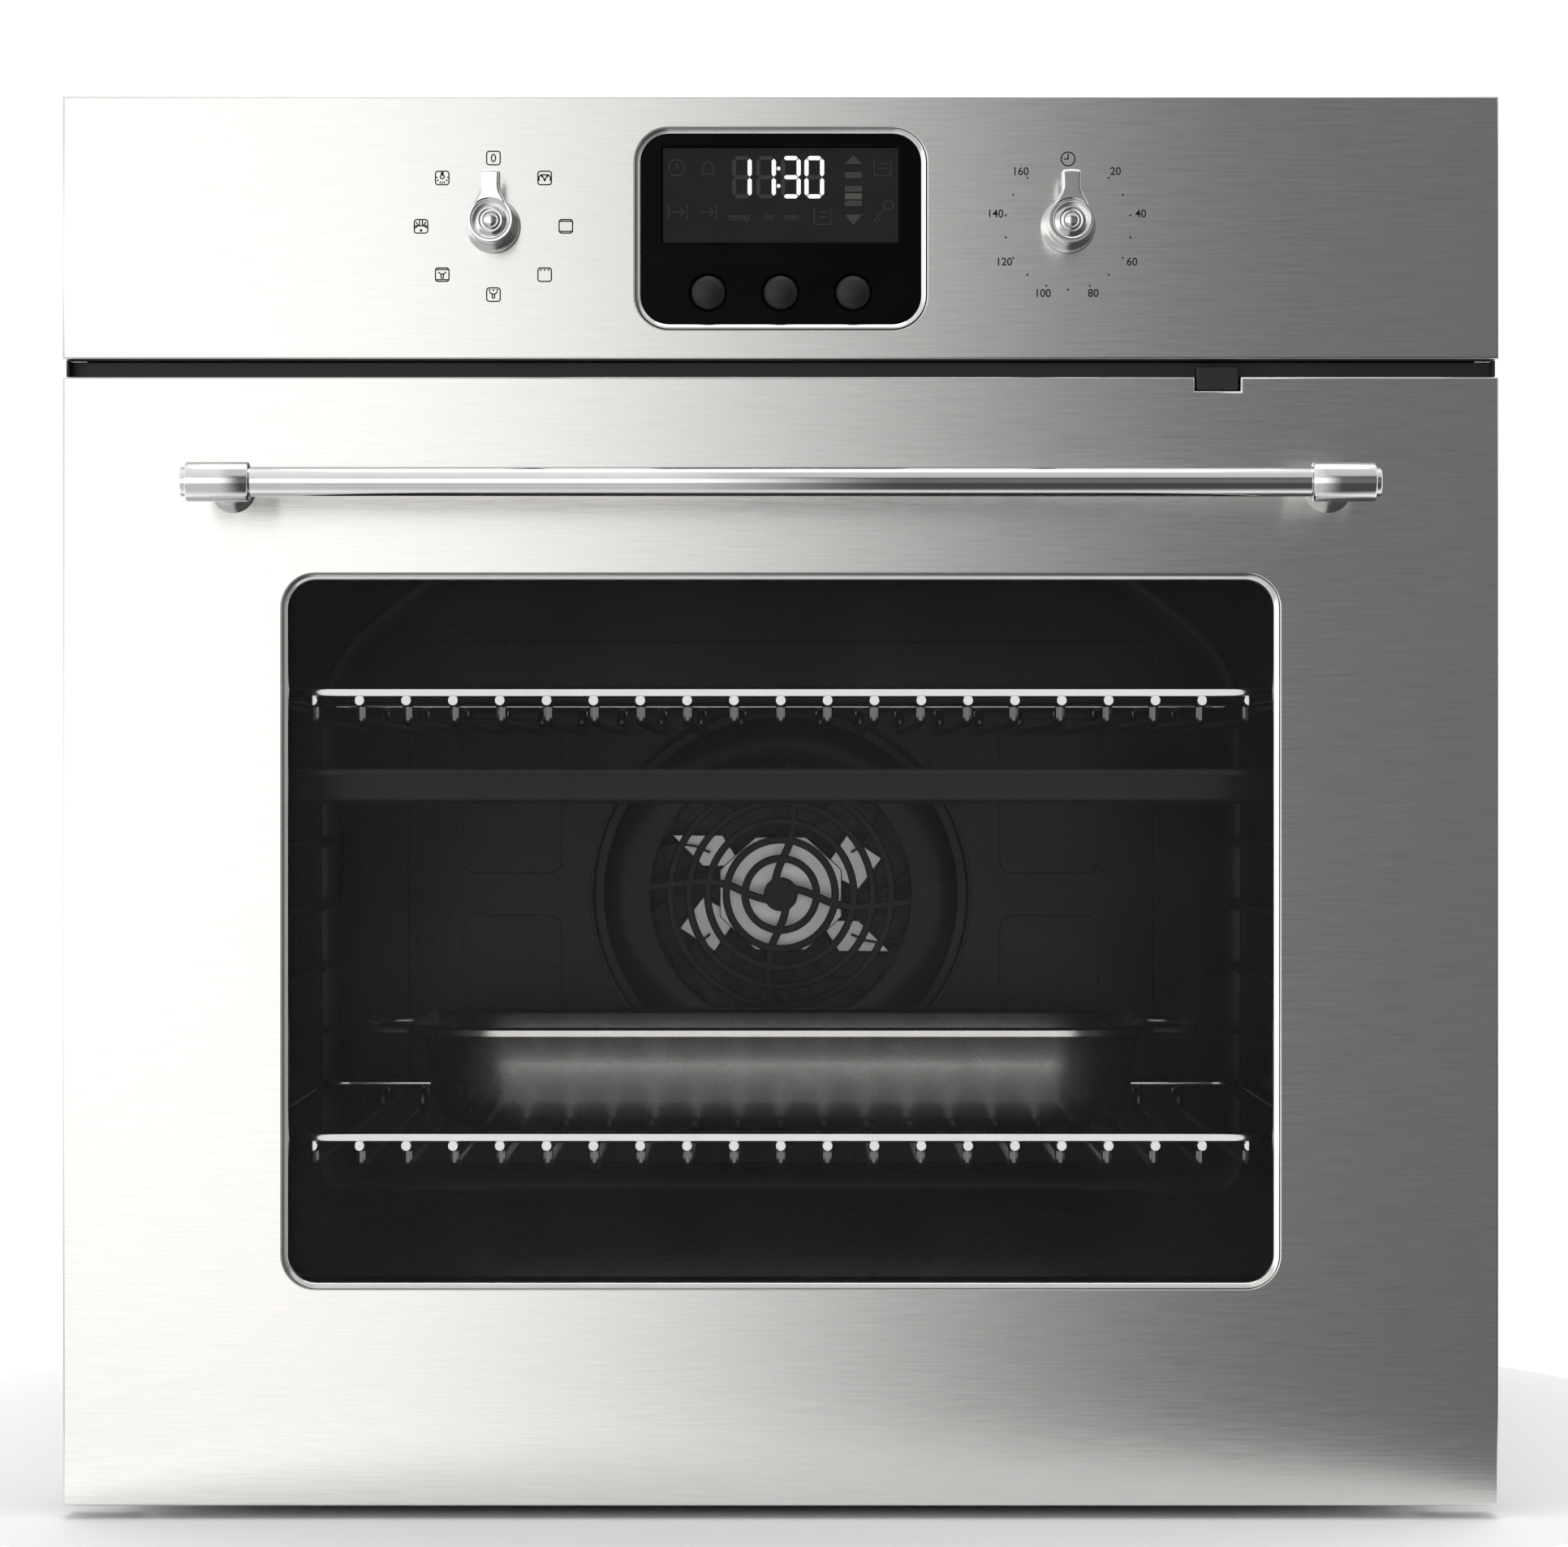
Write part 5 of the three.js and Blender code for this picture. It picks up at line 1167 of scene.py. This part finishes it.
def make_cavity():
    """Enamelled box: its walls, and a back wall raised inside a groove all round."""
    back = cavity_high.y - CAVITY_WALL
    front = cavity_low.y
    profile = [(0, front), (0, front + mm(120)), (0, front + mm(260)), (0, back - mm(3)),
               (mm(1.2), back - mm(0.8)), (mm(3.0), back - mm(0.2)), (mm(9.5), back - mm(0.2)),
               (mm(11.2), back - mm(1.0)), (mm(12.0), back - mm(2.6)), (mm(12.4), back - mm(4.4)),
               (mm(14.2), back - mm(5.6)), (mm(24), back - mm(5.8))]
    rings = [[(x, y, z) for x, z in cavity_outline(inset)] for inset, y in profile]
    walls = swept_section(rings)
    outer = [[(x, y, z) for x, z in cavity_outline(-CAVITY_WALL)] for y in (front, back)]
    jacket = swept_section(outer)
    plate_y = back - mm(5.8)
    hole = circle(mm(98), 0, FAN_Z, 64)
    wall = plate_mesh(cavity_outline(mm(24)), [hole], plate_y, plate_y + mm(1), mm(0.1))
    piece = join_meshes("cavity_enamel", [walls, jacket, wall])
    finish_piece(piece, ENAMEL, "chassis", 40)
    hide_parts("cavity")


def make_chamber():
    """Shallow box behind the back wall that holds the fan and the ring heater."""
    low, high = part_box("fan_chamber")
    centre = (low.z + high.z) / 2
    flange = mm(9)
    width = high.x - low.x
    height = high.z - low.z
    rear = high.y - mm(0.2)
    rings = []
    for inset, y, radius in [(mm(0.3), low.y + mm(0.6), 6), (flange - mm(1), low.y + mm(0.6), 10),
                             (flange, low.y + mm(2), 12), (flange, rear - mm(9), 14),
                             (flange + mm(3), rear - mm(2), 16), (flange + mm(9), rear - mm(0.6), 18)]:
        outline = round_rect(width - 2 * inset, height - 2 * inset, mm(radius), 0, centre, 6)
        rings.append([(x, y, z) for x, z in outline])
    piece = add_object("fan_chamber_enamel", swept_section(rings, False, True))
    thicken(piece, 1.1)
    finish_piece(piece, ENAMEL, "chassis", 40)
    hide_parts("fan_chamber")


# Swirl grille: the angle by which each spoke leads or trails at a distance from the middle.
SPOKE_TWIST = [(mm(7), 24), (mm(12.5), 7), (mm(19), -4), (mm(26), -10), (mm(36), -10.6), (mm(46), -8),
               (mm(57), -5), (mm(67), -3)]
GRILLE_RADIUS = mm(66)
GRILLE_RINGS = 6
GRILLE_BAR = mm(3.8)
GRILLE_HUB = mm(8.7)


def grille_mesh(y):
    """Flat rings and four swirling spokes over the fan."""
    pitch = (GRILLE_RADIUS - GRILLE_HUB) / GRILLE_RINGS
    meshes = []
    for ring in range(1, GRILLE_RINGS):
        middle = GRILLE_HUB + ring * pitch
        outer = circle(middle + GRILLE_BAR / 2, 0, FAN_Z, 72)
        inner = circle(middle - GRILLE_BAR / 2, 0, FAN_Z, 72)
        meshes.append(plate_mesh(outer, [inner], y, y + mm(1.8), mm(0.6)))
    meshes.append(plate_mesh(circle(GRILLE_HUB, 0, FAN_Z, 40), [], y, y + mm(1.8), mm(0.6)))
    for quarter in range(4):
        meshes.append(plate_mesh(spoke_outline(math.pi / 2 * quarter), [], y + mm(0.02), y + mm(1.78),
                                 mm(0.6)))
    return meshes


def spoke_outline(start):
    """One spoke: a band along its twisting middle line."""
    line = []
    for radius, twist in SPOKE_TWIST:
        angle = start + math.radians(twist) + math.pi / 2
        line.append(Vector((radius * math.cos(angle), radius * math.sin(angle))))
    smooth = rounded(line, mm(8), 4)
    left = []
    right = []
    for i, point in enumerate(smooth):
        ahead = smooth[min(i + 1, len(smooth) - 1)] - smooth[max(i - 1, 0)]
        across = Vector((-ahead.y, ahead.x)).normalized() * GRILLE_BAR * 0.52
        left.append(point + across)
        right.append(point - across)
    return [(p.x, FAN_Z + p.y) for p in right + left[::-1]]


def make_fan_cover():
    """Raised cover over the fan: rolled edge, side outlets, a grooved disc and the swirl grille."""
    y = cover_low.y
    centre = (cover_low.z + cover_high.z) / 2
    width = cover_high.x - cover_low.x
    height = cover_high.z - cover_low.z
    holes = [circle(mm(97), 0, FAN_Z, 72)]
    for side in (-1, 1):
        for lift in (-1, 1):
            holes.append(round_rect(mm(50), mm(78), mm(6), side * mm(137), FAN_Z + lift * mm(50), 5))
    outline = round_rect(width - mm(2.4), height - mm(2.4), mm(8), 0, centre, 6)
    meshes = [plate_mesh(outline, holes, y, y + mm(1.4), mm(0.5))]
    rings = []
    for inset, depth in in_mm((1.2, 0.5), (0.4, 0.9), (0, 2), (0, 6)):
        outline = round_rect(width - 2 * inset, height - 2 * inset, mm(9), 0, centre, 6)
        rings.append([(x, y + depth, z) for x, z in outline])
    meshes.append(swept_section(rings))
    profile = in_mm((97.5, 0.3), (96, 0.4), (94.5, 3.6), (90.5, 3.6), (88.6, 0.2), (86, -1.0),
                    (68, -1.0), (66.4, -0.4), (66, 1.0))
    meshes.append(turned_mesh(profile, (0, y, FAN_Z), "Y", 96))
    meshes.extend(grille_mesh(y - mm(0.6)))
    piece = join_meshes("fan_cover_enamel", meshes)
    finish_piece(piece, ENAMEL, "chassis", 35)
    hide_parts("fan_cover")


# Corners of four painted highlights behind the hub, bright wings where the blades catch the light, in
# millimetres from the fan's axis.
PAINTED_HIGHLIGHTS = [[(-56, 30), (-30, 30), (-20, 14), (-40, 14)], [(34, 30), (52, 18), (40, 2), (22, 12)],
         [(-34, -30), (-52, -18), (-40, -2), (-22, -12)], [(56, -30), (30, -30), (20, -14), (40, -14)]]


def make_fan():
    """Fan wheel: a dished disc with curved blades, dark as painted shade, and a bright hub plate with four
    wings that are painted highlights.
    """
    front = fan_low.y
    rear = front + mm(26)
    centre = (0, front, FAN_Z)
    disc = in_mm((0, 25), (20, 25), (26, 24), (72.8, 24), (73.8, 25.2), (72.8, 25.6), (0, 26.6))
    meshes = [turned_mesh(disc, centre, "Y", 48)]
    for i in range(12):
        meshes.append(blade_mesh(math.radians(30 * i), front, rear))
    wheel = join_meshes("fan_wheel_steel", meshes)
    # The wheel and its blades take the dark heater colour as painted shade.
    finish_piece(wheel, SHEATH_OXIDE_AND_PAINTED_SHADE, "hot_air_fan", 35)
    hub = []
    for i in range(8):
        angle = math.radians(22.5 + 45 * i)
        hub.append((mm(34) * math.cos(angle), FAN_Z + mm(31.5) * math.sin(angle)))
    meshes = [plate_mesh(hub, [], front + mm(7), front + mm(9.2), mm(0.5))]
    # Four bright wings: painted highlights where the blades catch the light.
    for painted_highlight in PAINTED_HIGHLIGHTS:
        outline = [(mm(x), FAN_Z + mm(z)) for x, z in painted_highlight]
        meshes.append(plate_mesh(outline, [], front + mm(9.4), front + mm(11), mm(0.4)))
    nose = in_mm((0, 1), (5, 1), (6, 2), (6, 7), (12, 7.2), (12, 24.5), (0, 24.6))
    shaft = [(0, mm(24)), (mm(3), mm(24)), (mm(3), fan_high.y - front), (0, fan_high.y - front)]
    meshes += [turned_mesh(nose, centre, "Y", 24), turned_mesh(shaft, centre, "Y", 20)]
    piece = join_meshes("fan_hub_and_painted_highlights", meshes)
    finish_piece(piece, HUB_STEEL_AND_PAINTED_HIGHLIGHTS, "hot_air_fan", 35)
    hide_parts("convection_fan")
    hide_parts("convection_fan")


def blade_mesh(angle, front, rear):
    """Curved blade standing on the fan's disc."""
    rings = []
    for t in (0, 0.25, 0.5, 0.75, 1):
        radius = mm(42) + mm(30) * t
        lean = angle + math.radians(14) * t * t
        c, s = math.cos(lean), math.sin(lean)
        top = front + mm(1.5) + mm(3) * (1 - t)
        half = mm(0.55)
        near = [(radius * c + half * s, y, FAN_Z + radius * s - half * c) for y in (top, rear - mm(2))]
        far = [(radius * c - half * s, y, FAN_Z + radius * s + half * c) for y in (rear - mm(2), top)]
        rings.append(near + far)
    return swept_section(rings, True, True)


for rack_node, rack_body in [("upper_rack", "top_shelf"), ("lower_rack", "bottom_shelf")]:
    make_rack(rack_node, rack_body)
make_tray()
make_pan()
make_cavity()
make_chamber()
make_fan_cover()
make_fan()


# ------------------------------------------------------------------ chassis seen from behind and the sides

def lay_side(mesh, x):
    """Turns a plate drawn in y and z so that it stands at x."""
    mesh.transform(Matrix.Rotation(math.pi / 2, 4, "Z"))
    mesh.transform(Matrix.Translation((x, 0, 0)))
    return mesh


def lay_flat(mesh, z):
    """Turns a plate drawn in x and y so that it lies at z."""
    mesh.transform(Matrix.Rotation(-math.pi / 2, 4, "X"))
    mesh.transform(Matrix.Translation((0, 0, z)))
    return mesh


def screw_head(place, axis, outward):
    """Pan-head screw on a sheet."""
    line = in_mm((0, 1.1), (1.0, 1.05), (1.9, 0.85), (2.6, 0.4), (2.9, 0), (2.9, -0.3), (0, -0.3))
    return turned_mesh([(radius, outward * along) for radius, along in line], place, axis, 20)


RIB_HEIGHT = mm(2.2)


def pressed_frame(x, z, width, height):
    """Outline and hole of a raised rib pressed into a sheet."""
    outer = round_rect(width, height, mm(14), x, z, 5)
    inner = round_rect(width - mm(10), height - mm(10), mm(10), x, z, 5)
    return outer, [inner]


def make_housing_sides():
    """Side sheets with a pressed rib, rounded edges and screws."""
    for side, sign in (("left", -1), ("right", 1)):
        low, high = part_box(f"housing_{side}")
        y = (low.y + high.y) / 2
        z = (low.z + high.z) / 2
        depth = high.y - low.y
        height = high.z - low.z
        x = (low.x + high.x) / 2
        outline = [(low.y, low.z + mm(52)), (low.y + mm(31), low.z + mm(52)), (low.y + mm(31), low.z),
                   (high.y, low.z),
                   (high.y, high.z), (low.y, high.z)]
        meshes = [lay_side(plate_mesh(outline, [], -mm(0.45), mm(0.45), mm(0.2)), x)]
        rib, hole = pressed_frame(y + mm(12), z + mm(14), depth - mm(150), height - mm(150))
        near, far = sorted((-sign * RIB_HEIGHT, 0))
        meshes.append(lay_side(plate_mesh(rib, hole, near, far, mm(0.8)), x))
        for along in (low.y + mm(14), y, high.y - mm(14)):
            for up in (low.z + mm(70), high.z - mm(12)):
                meshes.append(screw_head((x + sign * mm(0.2), along, up), "X", sign))
        piece = join_meshes(f"housing_{side}_sheet", meshes)
        finish_piece(piece, ZINC, "chassis")
        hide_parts(f"housing_{side}")


def slot_row(x, y, width, height):
    return round_rect(width, height, height * 0.45, x, y, 4)


def make_housing_back():
    """Back sheet with air slots, an opening for the terminals, pressed ribs and screws."""
    low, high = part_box("housing_back")
    cover_low_corner, cover_high_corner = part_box("terminal_cover")
    x = (cover_low_corner.x + cover_high_corner.x) / 2
    z = (cover_low_corner.z + cover_high_corner.z) / 2
    holes = [slot_row(0, mm(303 + 14 * row), mm(120), mm(6)) for row in range(7)]
    holes.append(round_rect(mm(56), mm(40), mm(3), x, z, 4))
    face = plate_mesh(rectangle(low, high), holes, low.y + mm(0.1), high.y - mm(0.5), mm(0.25))
    meshes = [face]
    for centre_x in (-mm(180), mm(180)):
        rib, hole = pressed_frame(centre_x, mm(230), mm(150), mm(330))
        meshes.append(plate_mesh(rib, hole, low.y + mm(0.3), high.y, mm(0.4)))
    for side in (-1, 1):
        for height in (low.z + mm(9), (low.z + high.z) / 2, high.z - mm(9)):
            meshes.append(screw_head((side * (high.x - mm(9)), high.y - mm(1.1), height), "Y", 1))
    piece = join_meshes("housing_back_sheet", meshes)
    finish_piece(piece, ZINC, "chassis")
    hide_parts("housing_back")


def make_housing_top():
    """Top sheet with air slots over the blower and pressed ribs."""
    low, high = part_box("housing_top")
    outline = [(low.x, low.y), (high.x, low.y), (high.x, high.y), (low.x, high.y)]
    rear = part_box("housing_back")[1].y
    holes = [slot_row(0, rear - mm(197.5 - 12 * row), mm(150), mm(5)) for row in range(8)]
    middle = (low.z + high.z) / 2
    meshes = [lay_flat(plate_mesh(outline, holes, -mm(0.45), mm(0.45), mm(0.2)), middle)]
    for x in (-mm(185), mm(185)):
        rib, hole = pressed_frame(x, (low.y + high.y) / 2, mm(120), high.y - low.y - mm(110))
        meshes.append(lay_flat(plate_mesh(rib, hole, -RIB_HEIGHT, 0, mm(0.8)), middle))
    piece = join_meshes("housing_top_sheet", meshes)
    finish_piece(piece, ZINC, "chassis")
    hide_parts("housing_top")


ROUNDED = {
    0.5: ["front_frame", "housing_base", "cooling_duct", "cooling_fan_housing", "terminal_cover",
          "terminal_block"],
    0.4: ["door_frame", "door_top_vent", "shelf_runner_left", "shelf_runner_right", "lamp_lens",
          "lamp_holder"],
    0.6: ["fan_motor", "cooling_fan_motor", "selector_switch", "timer_switch", "display_board"],
    0.3: ["hinge_arm_left", "hinge_arm_right", "hinge_bracket_left", "hinge_bracket_right",
          "hinge_pin_left",
          "hinge_pin_right", "outer_glass", "middle_glass", "inner_glass", "cooling_fan_rotor"],
    1.2: ["insulation_wrap", "door_seal"],
}


def round_remaining_nodes():
    for width, nodes in ROUNDED.items():
        for node in nodes:
            soften(node, width)


make_housing_sides()
make_housing_back()
make_housing_top()
round_remaining_nodes()


# ------------------------------------------------------------------ studio

FLOOR_RADIUS = 0.445                     # just past the corners, so that it throws little light on the front


def make_floor():
    """Pale round floor."""
    mesh = bpy.data.meshes.new("studio_floor")
    work = bmesh.new()
    bmesh.ops.create_circle(work, cap_ends=True, radius=FLOOR_RADIUS, segments=128)
    work.to_mesh(mesh)
    work.free()
    floor = add_object("studio_floor", mesh)
    floor.location.z = cad_low.z - 0.0005
    material, tree, shader = new_material("studio_floor")
    haze = stretched_noise(tree, 1.5, (1, 1, 1), 2.0)
    tree.links.new(ramp(tree, haze, (0.93, 0.93, 0.93), (0.95, 0.95, 0.95)), shader.inputs["Base Color"])
    put(shader, "Roughness", 0.9)
    mesh.materials.append(material)


def make_world():
    """White studio, darker towards the front right so that the steel shades off to that side."""
    world = bpy.data.worlds.new("studio")
    bpy.context.scene.world = world
    world.use_nodes = True
    tree = world.node_tree
    background = tree.nodes["Background"]
    place = add_node(tree, "ShaderNodeTexCoord")
    parts = add_node(tree, "ShaderNodeSeparateXYZ")
    tree.links.new(place.outputs["Generated"], parts.inputs["Vector"])
    side = add_node(tree, "ShaderNodeMapRange", interpolation_type="SMOOTHSTEP")
    put(side, "From Min", -0.115)
    put(side, "From Max", 0.105)
    put(side, "To Min", 1.40)
    put(side, "To Max", 0.165)
    tree.links.new(parts.outputs["X"], side.inputs["Value"])
    heights = add_node(tree, "ShaderNodeValToRGB")
    heights.color_ramp.elements[0].color = (0.42, 0.42, 0.42, 1)
    heights.color_ramp.elements[1].color = (0.65, 0.65, 0.65, 1)
    for position, level in [(0.36, 0.42), (0.43, 1.0), (0.60, 1.0), (0.70, 0.55)]:
        heights.color_ramp.elements.new(position).color = (level, level, level, 1)
    elevation = add_node(tree, "ShaderNodeMapRange")
    put(elevation, "From Min", -1.0)
    tree.links.new(parts.outputs["Z"], elevation.inputs["Value"])
    tree.links.new(elevation.outputs["Result"], heights.inputs["Fac"])
    dimmed = add_node(tree, "ShaderNodeMath", operation="MULTIPLY")
    tree.links.new(side.outputs["Result"], dimmed.inputs[0])
    tree.links.new(heights.outputs["Color"], dimmed.inputs[1])
    overhead = add_node(tree, "ShaderNodeMapRange", interpolation_type="SMOOTHSTEP")
    put(overhead, "From Min", 0.30)
    put(overhead, "From Max", 0.62)
    put(overhead, "To Max", 0.62)
    tree.links.new(parts.outputs["Z"], overhead.inputs["Value"])
    shaded = add_node(tree, "ShaderNodeMath", operation="MAXIMUM")
    tree.links.new(dimmed.outputs["Value"], shaded.inputs[0])
    tree.links.new(overhead.outputs["Result"], shaded.inputs[1])
    front = add_node(tree, "ShaderNodeMapRange", interpolation_type="SMOOTHSTEP")
    put(front, "From Min", -0.55)
    put(front, "From Max", 0.15)
    tree.links.new(parts.outputs["Y"], front.inputs["Value"])
    blend = add_node(tree, "ShaderNodeMix")
    put(blend, "B", 1.05)
    tree.links.new(front.outputs["Result"], blend.inputs["Factor"])
    tree.links.new(shaded.outputs["Value"], blend.inputs["A"])
    path = add_node(tree, "ShaderNodeLightPath")
    backdrop = add_node(tree, "ShaderNodeMix")
    put(backdrop, "B", 1.05)
    tree.links.new(path.outputs["Is Camera Ray"], backdrop.inputs["Factor"])
    tree.links.new(blend.outputs["Result"], backdrop.inputs["A"])
    tree.links.new(backdrop.outputs["Result"], background.inputs["Strength"])
    put(background, "Color", (1, 1, 1, 1))


def make_oven_light():
    """Soft light just behind the door glass, so that the racks and the fan can be seen."""
    light = bpy.data.lights.new("oven_light", "AREA")
    light.shape = "RECTANGLE"
    light.size = 0.40
    light.size_y = 0.27
    light.energy = 0.56
    lamp = add_object("oven_light", light)
    lamp.location = (0, behind(45), 0.245)
    lamp.rotation_euler = Vector((0, 1, 0)).to_track_quat("-Z", "Y").to_euler()
    lamp.visible_camera = False


def make_top_light():
    """Large soft light over the oven, aimed at its middle."""
    light = bpy.data.lights.new("top", "AREA")
    light.size = 2.2
    light.energy = 45
    lamp = add_object("top", light)
    lamp.location = (0, 0.2, 3.4)
    lamp.rotation_euler = (Vector((0, 0, 0.3)) - lamp.location).to_track_quat("-Z", "Y").to_euler()


CAMERA_DISTANCE = 1.860                  # from the front of the door
CAMERA_HEIGHT = 0.303
CAMERA_LENS = 103.1
IMAGE_WIDTH = 1932
SHIFT_RIGHT = 4 / IMAGE_WIDTH
SHIFT_UP = 16 / IMAGE_WIDTH


def make_camera():
    camera = bpy.data.cameras.new("camera")
    camera.sensor_width = 36
    camera.lens = CAMERA_LENS
    camera.shift_x = SHIFT_RIGHT
    camera.shift_y = SHIFT_UP
    camera.clip_start = 0.1
    camera.clip_end = 60
    viewer = add_object("camera", camera)
    viewer.location = (0, FRONT - CAMERA_DISTANCE, CAMERA_HEIGHT)
    viewer.rotation_euler = (math.radians(90), 0, 0)
    bpy.context.scene.camera = viewer


make_floor()
make_world()
make_top_light()
make_oven_light()
make_camera()
bpy.context.scene.view_settings.view_transform = "Standard"
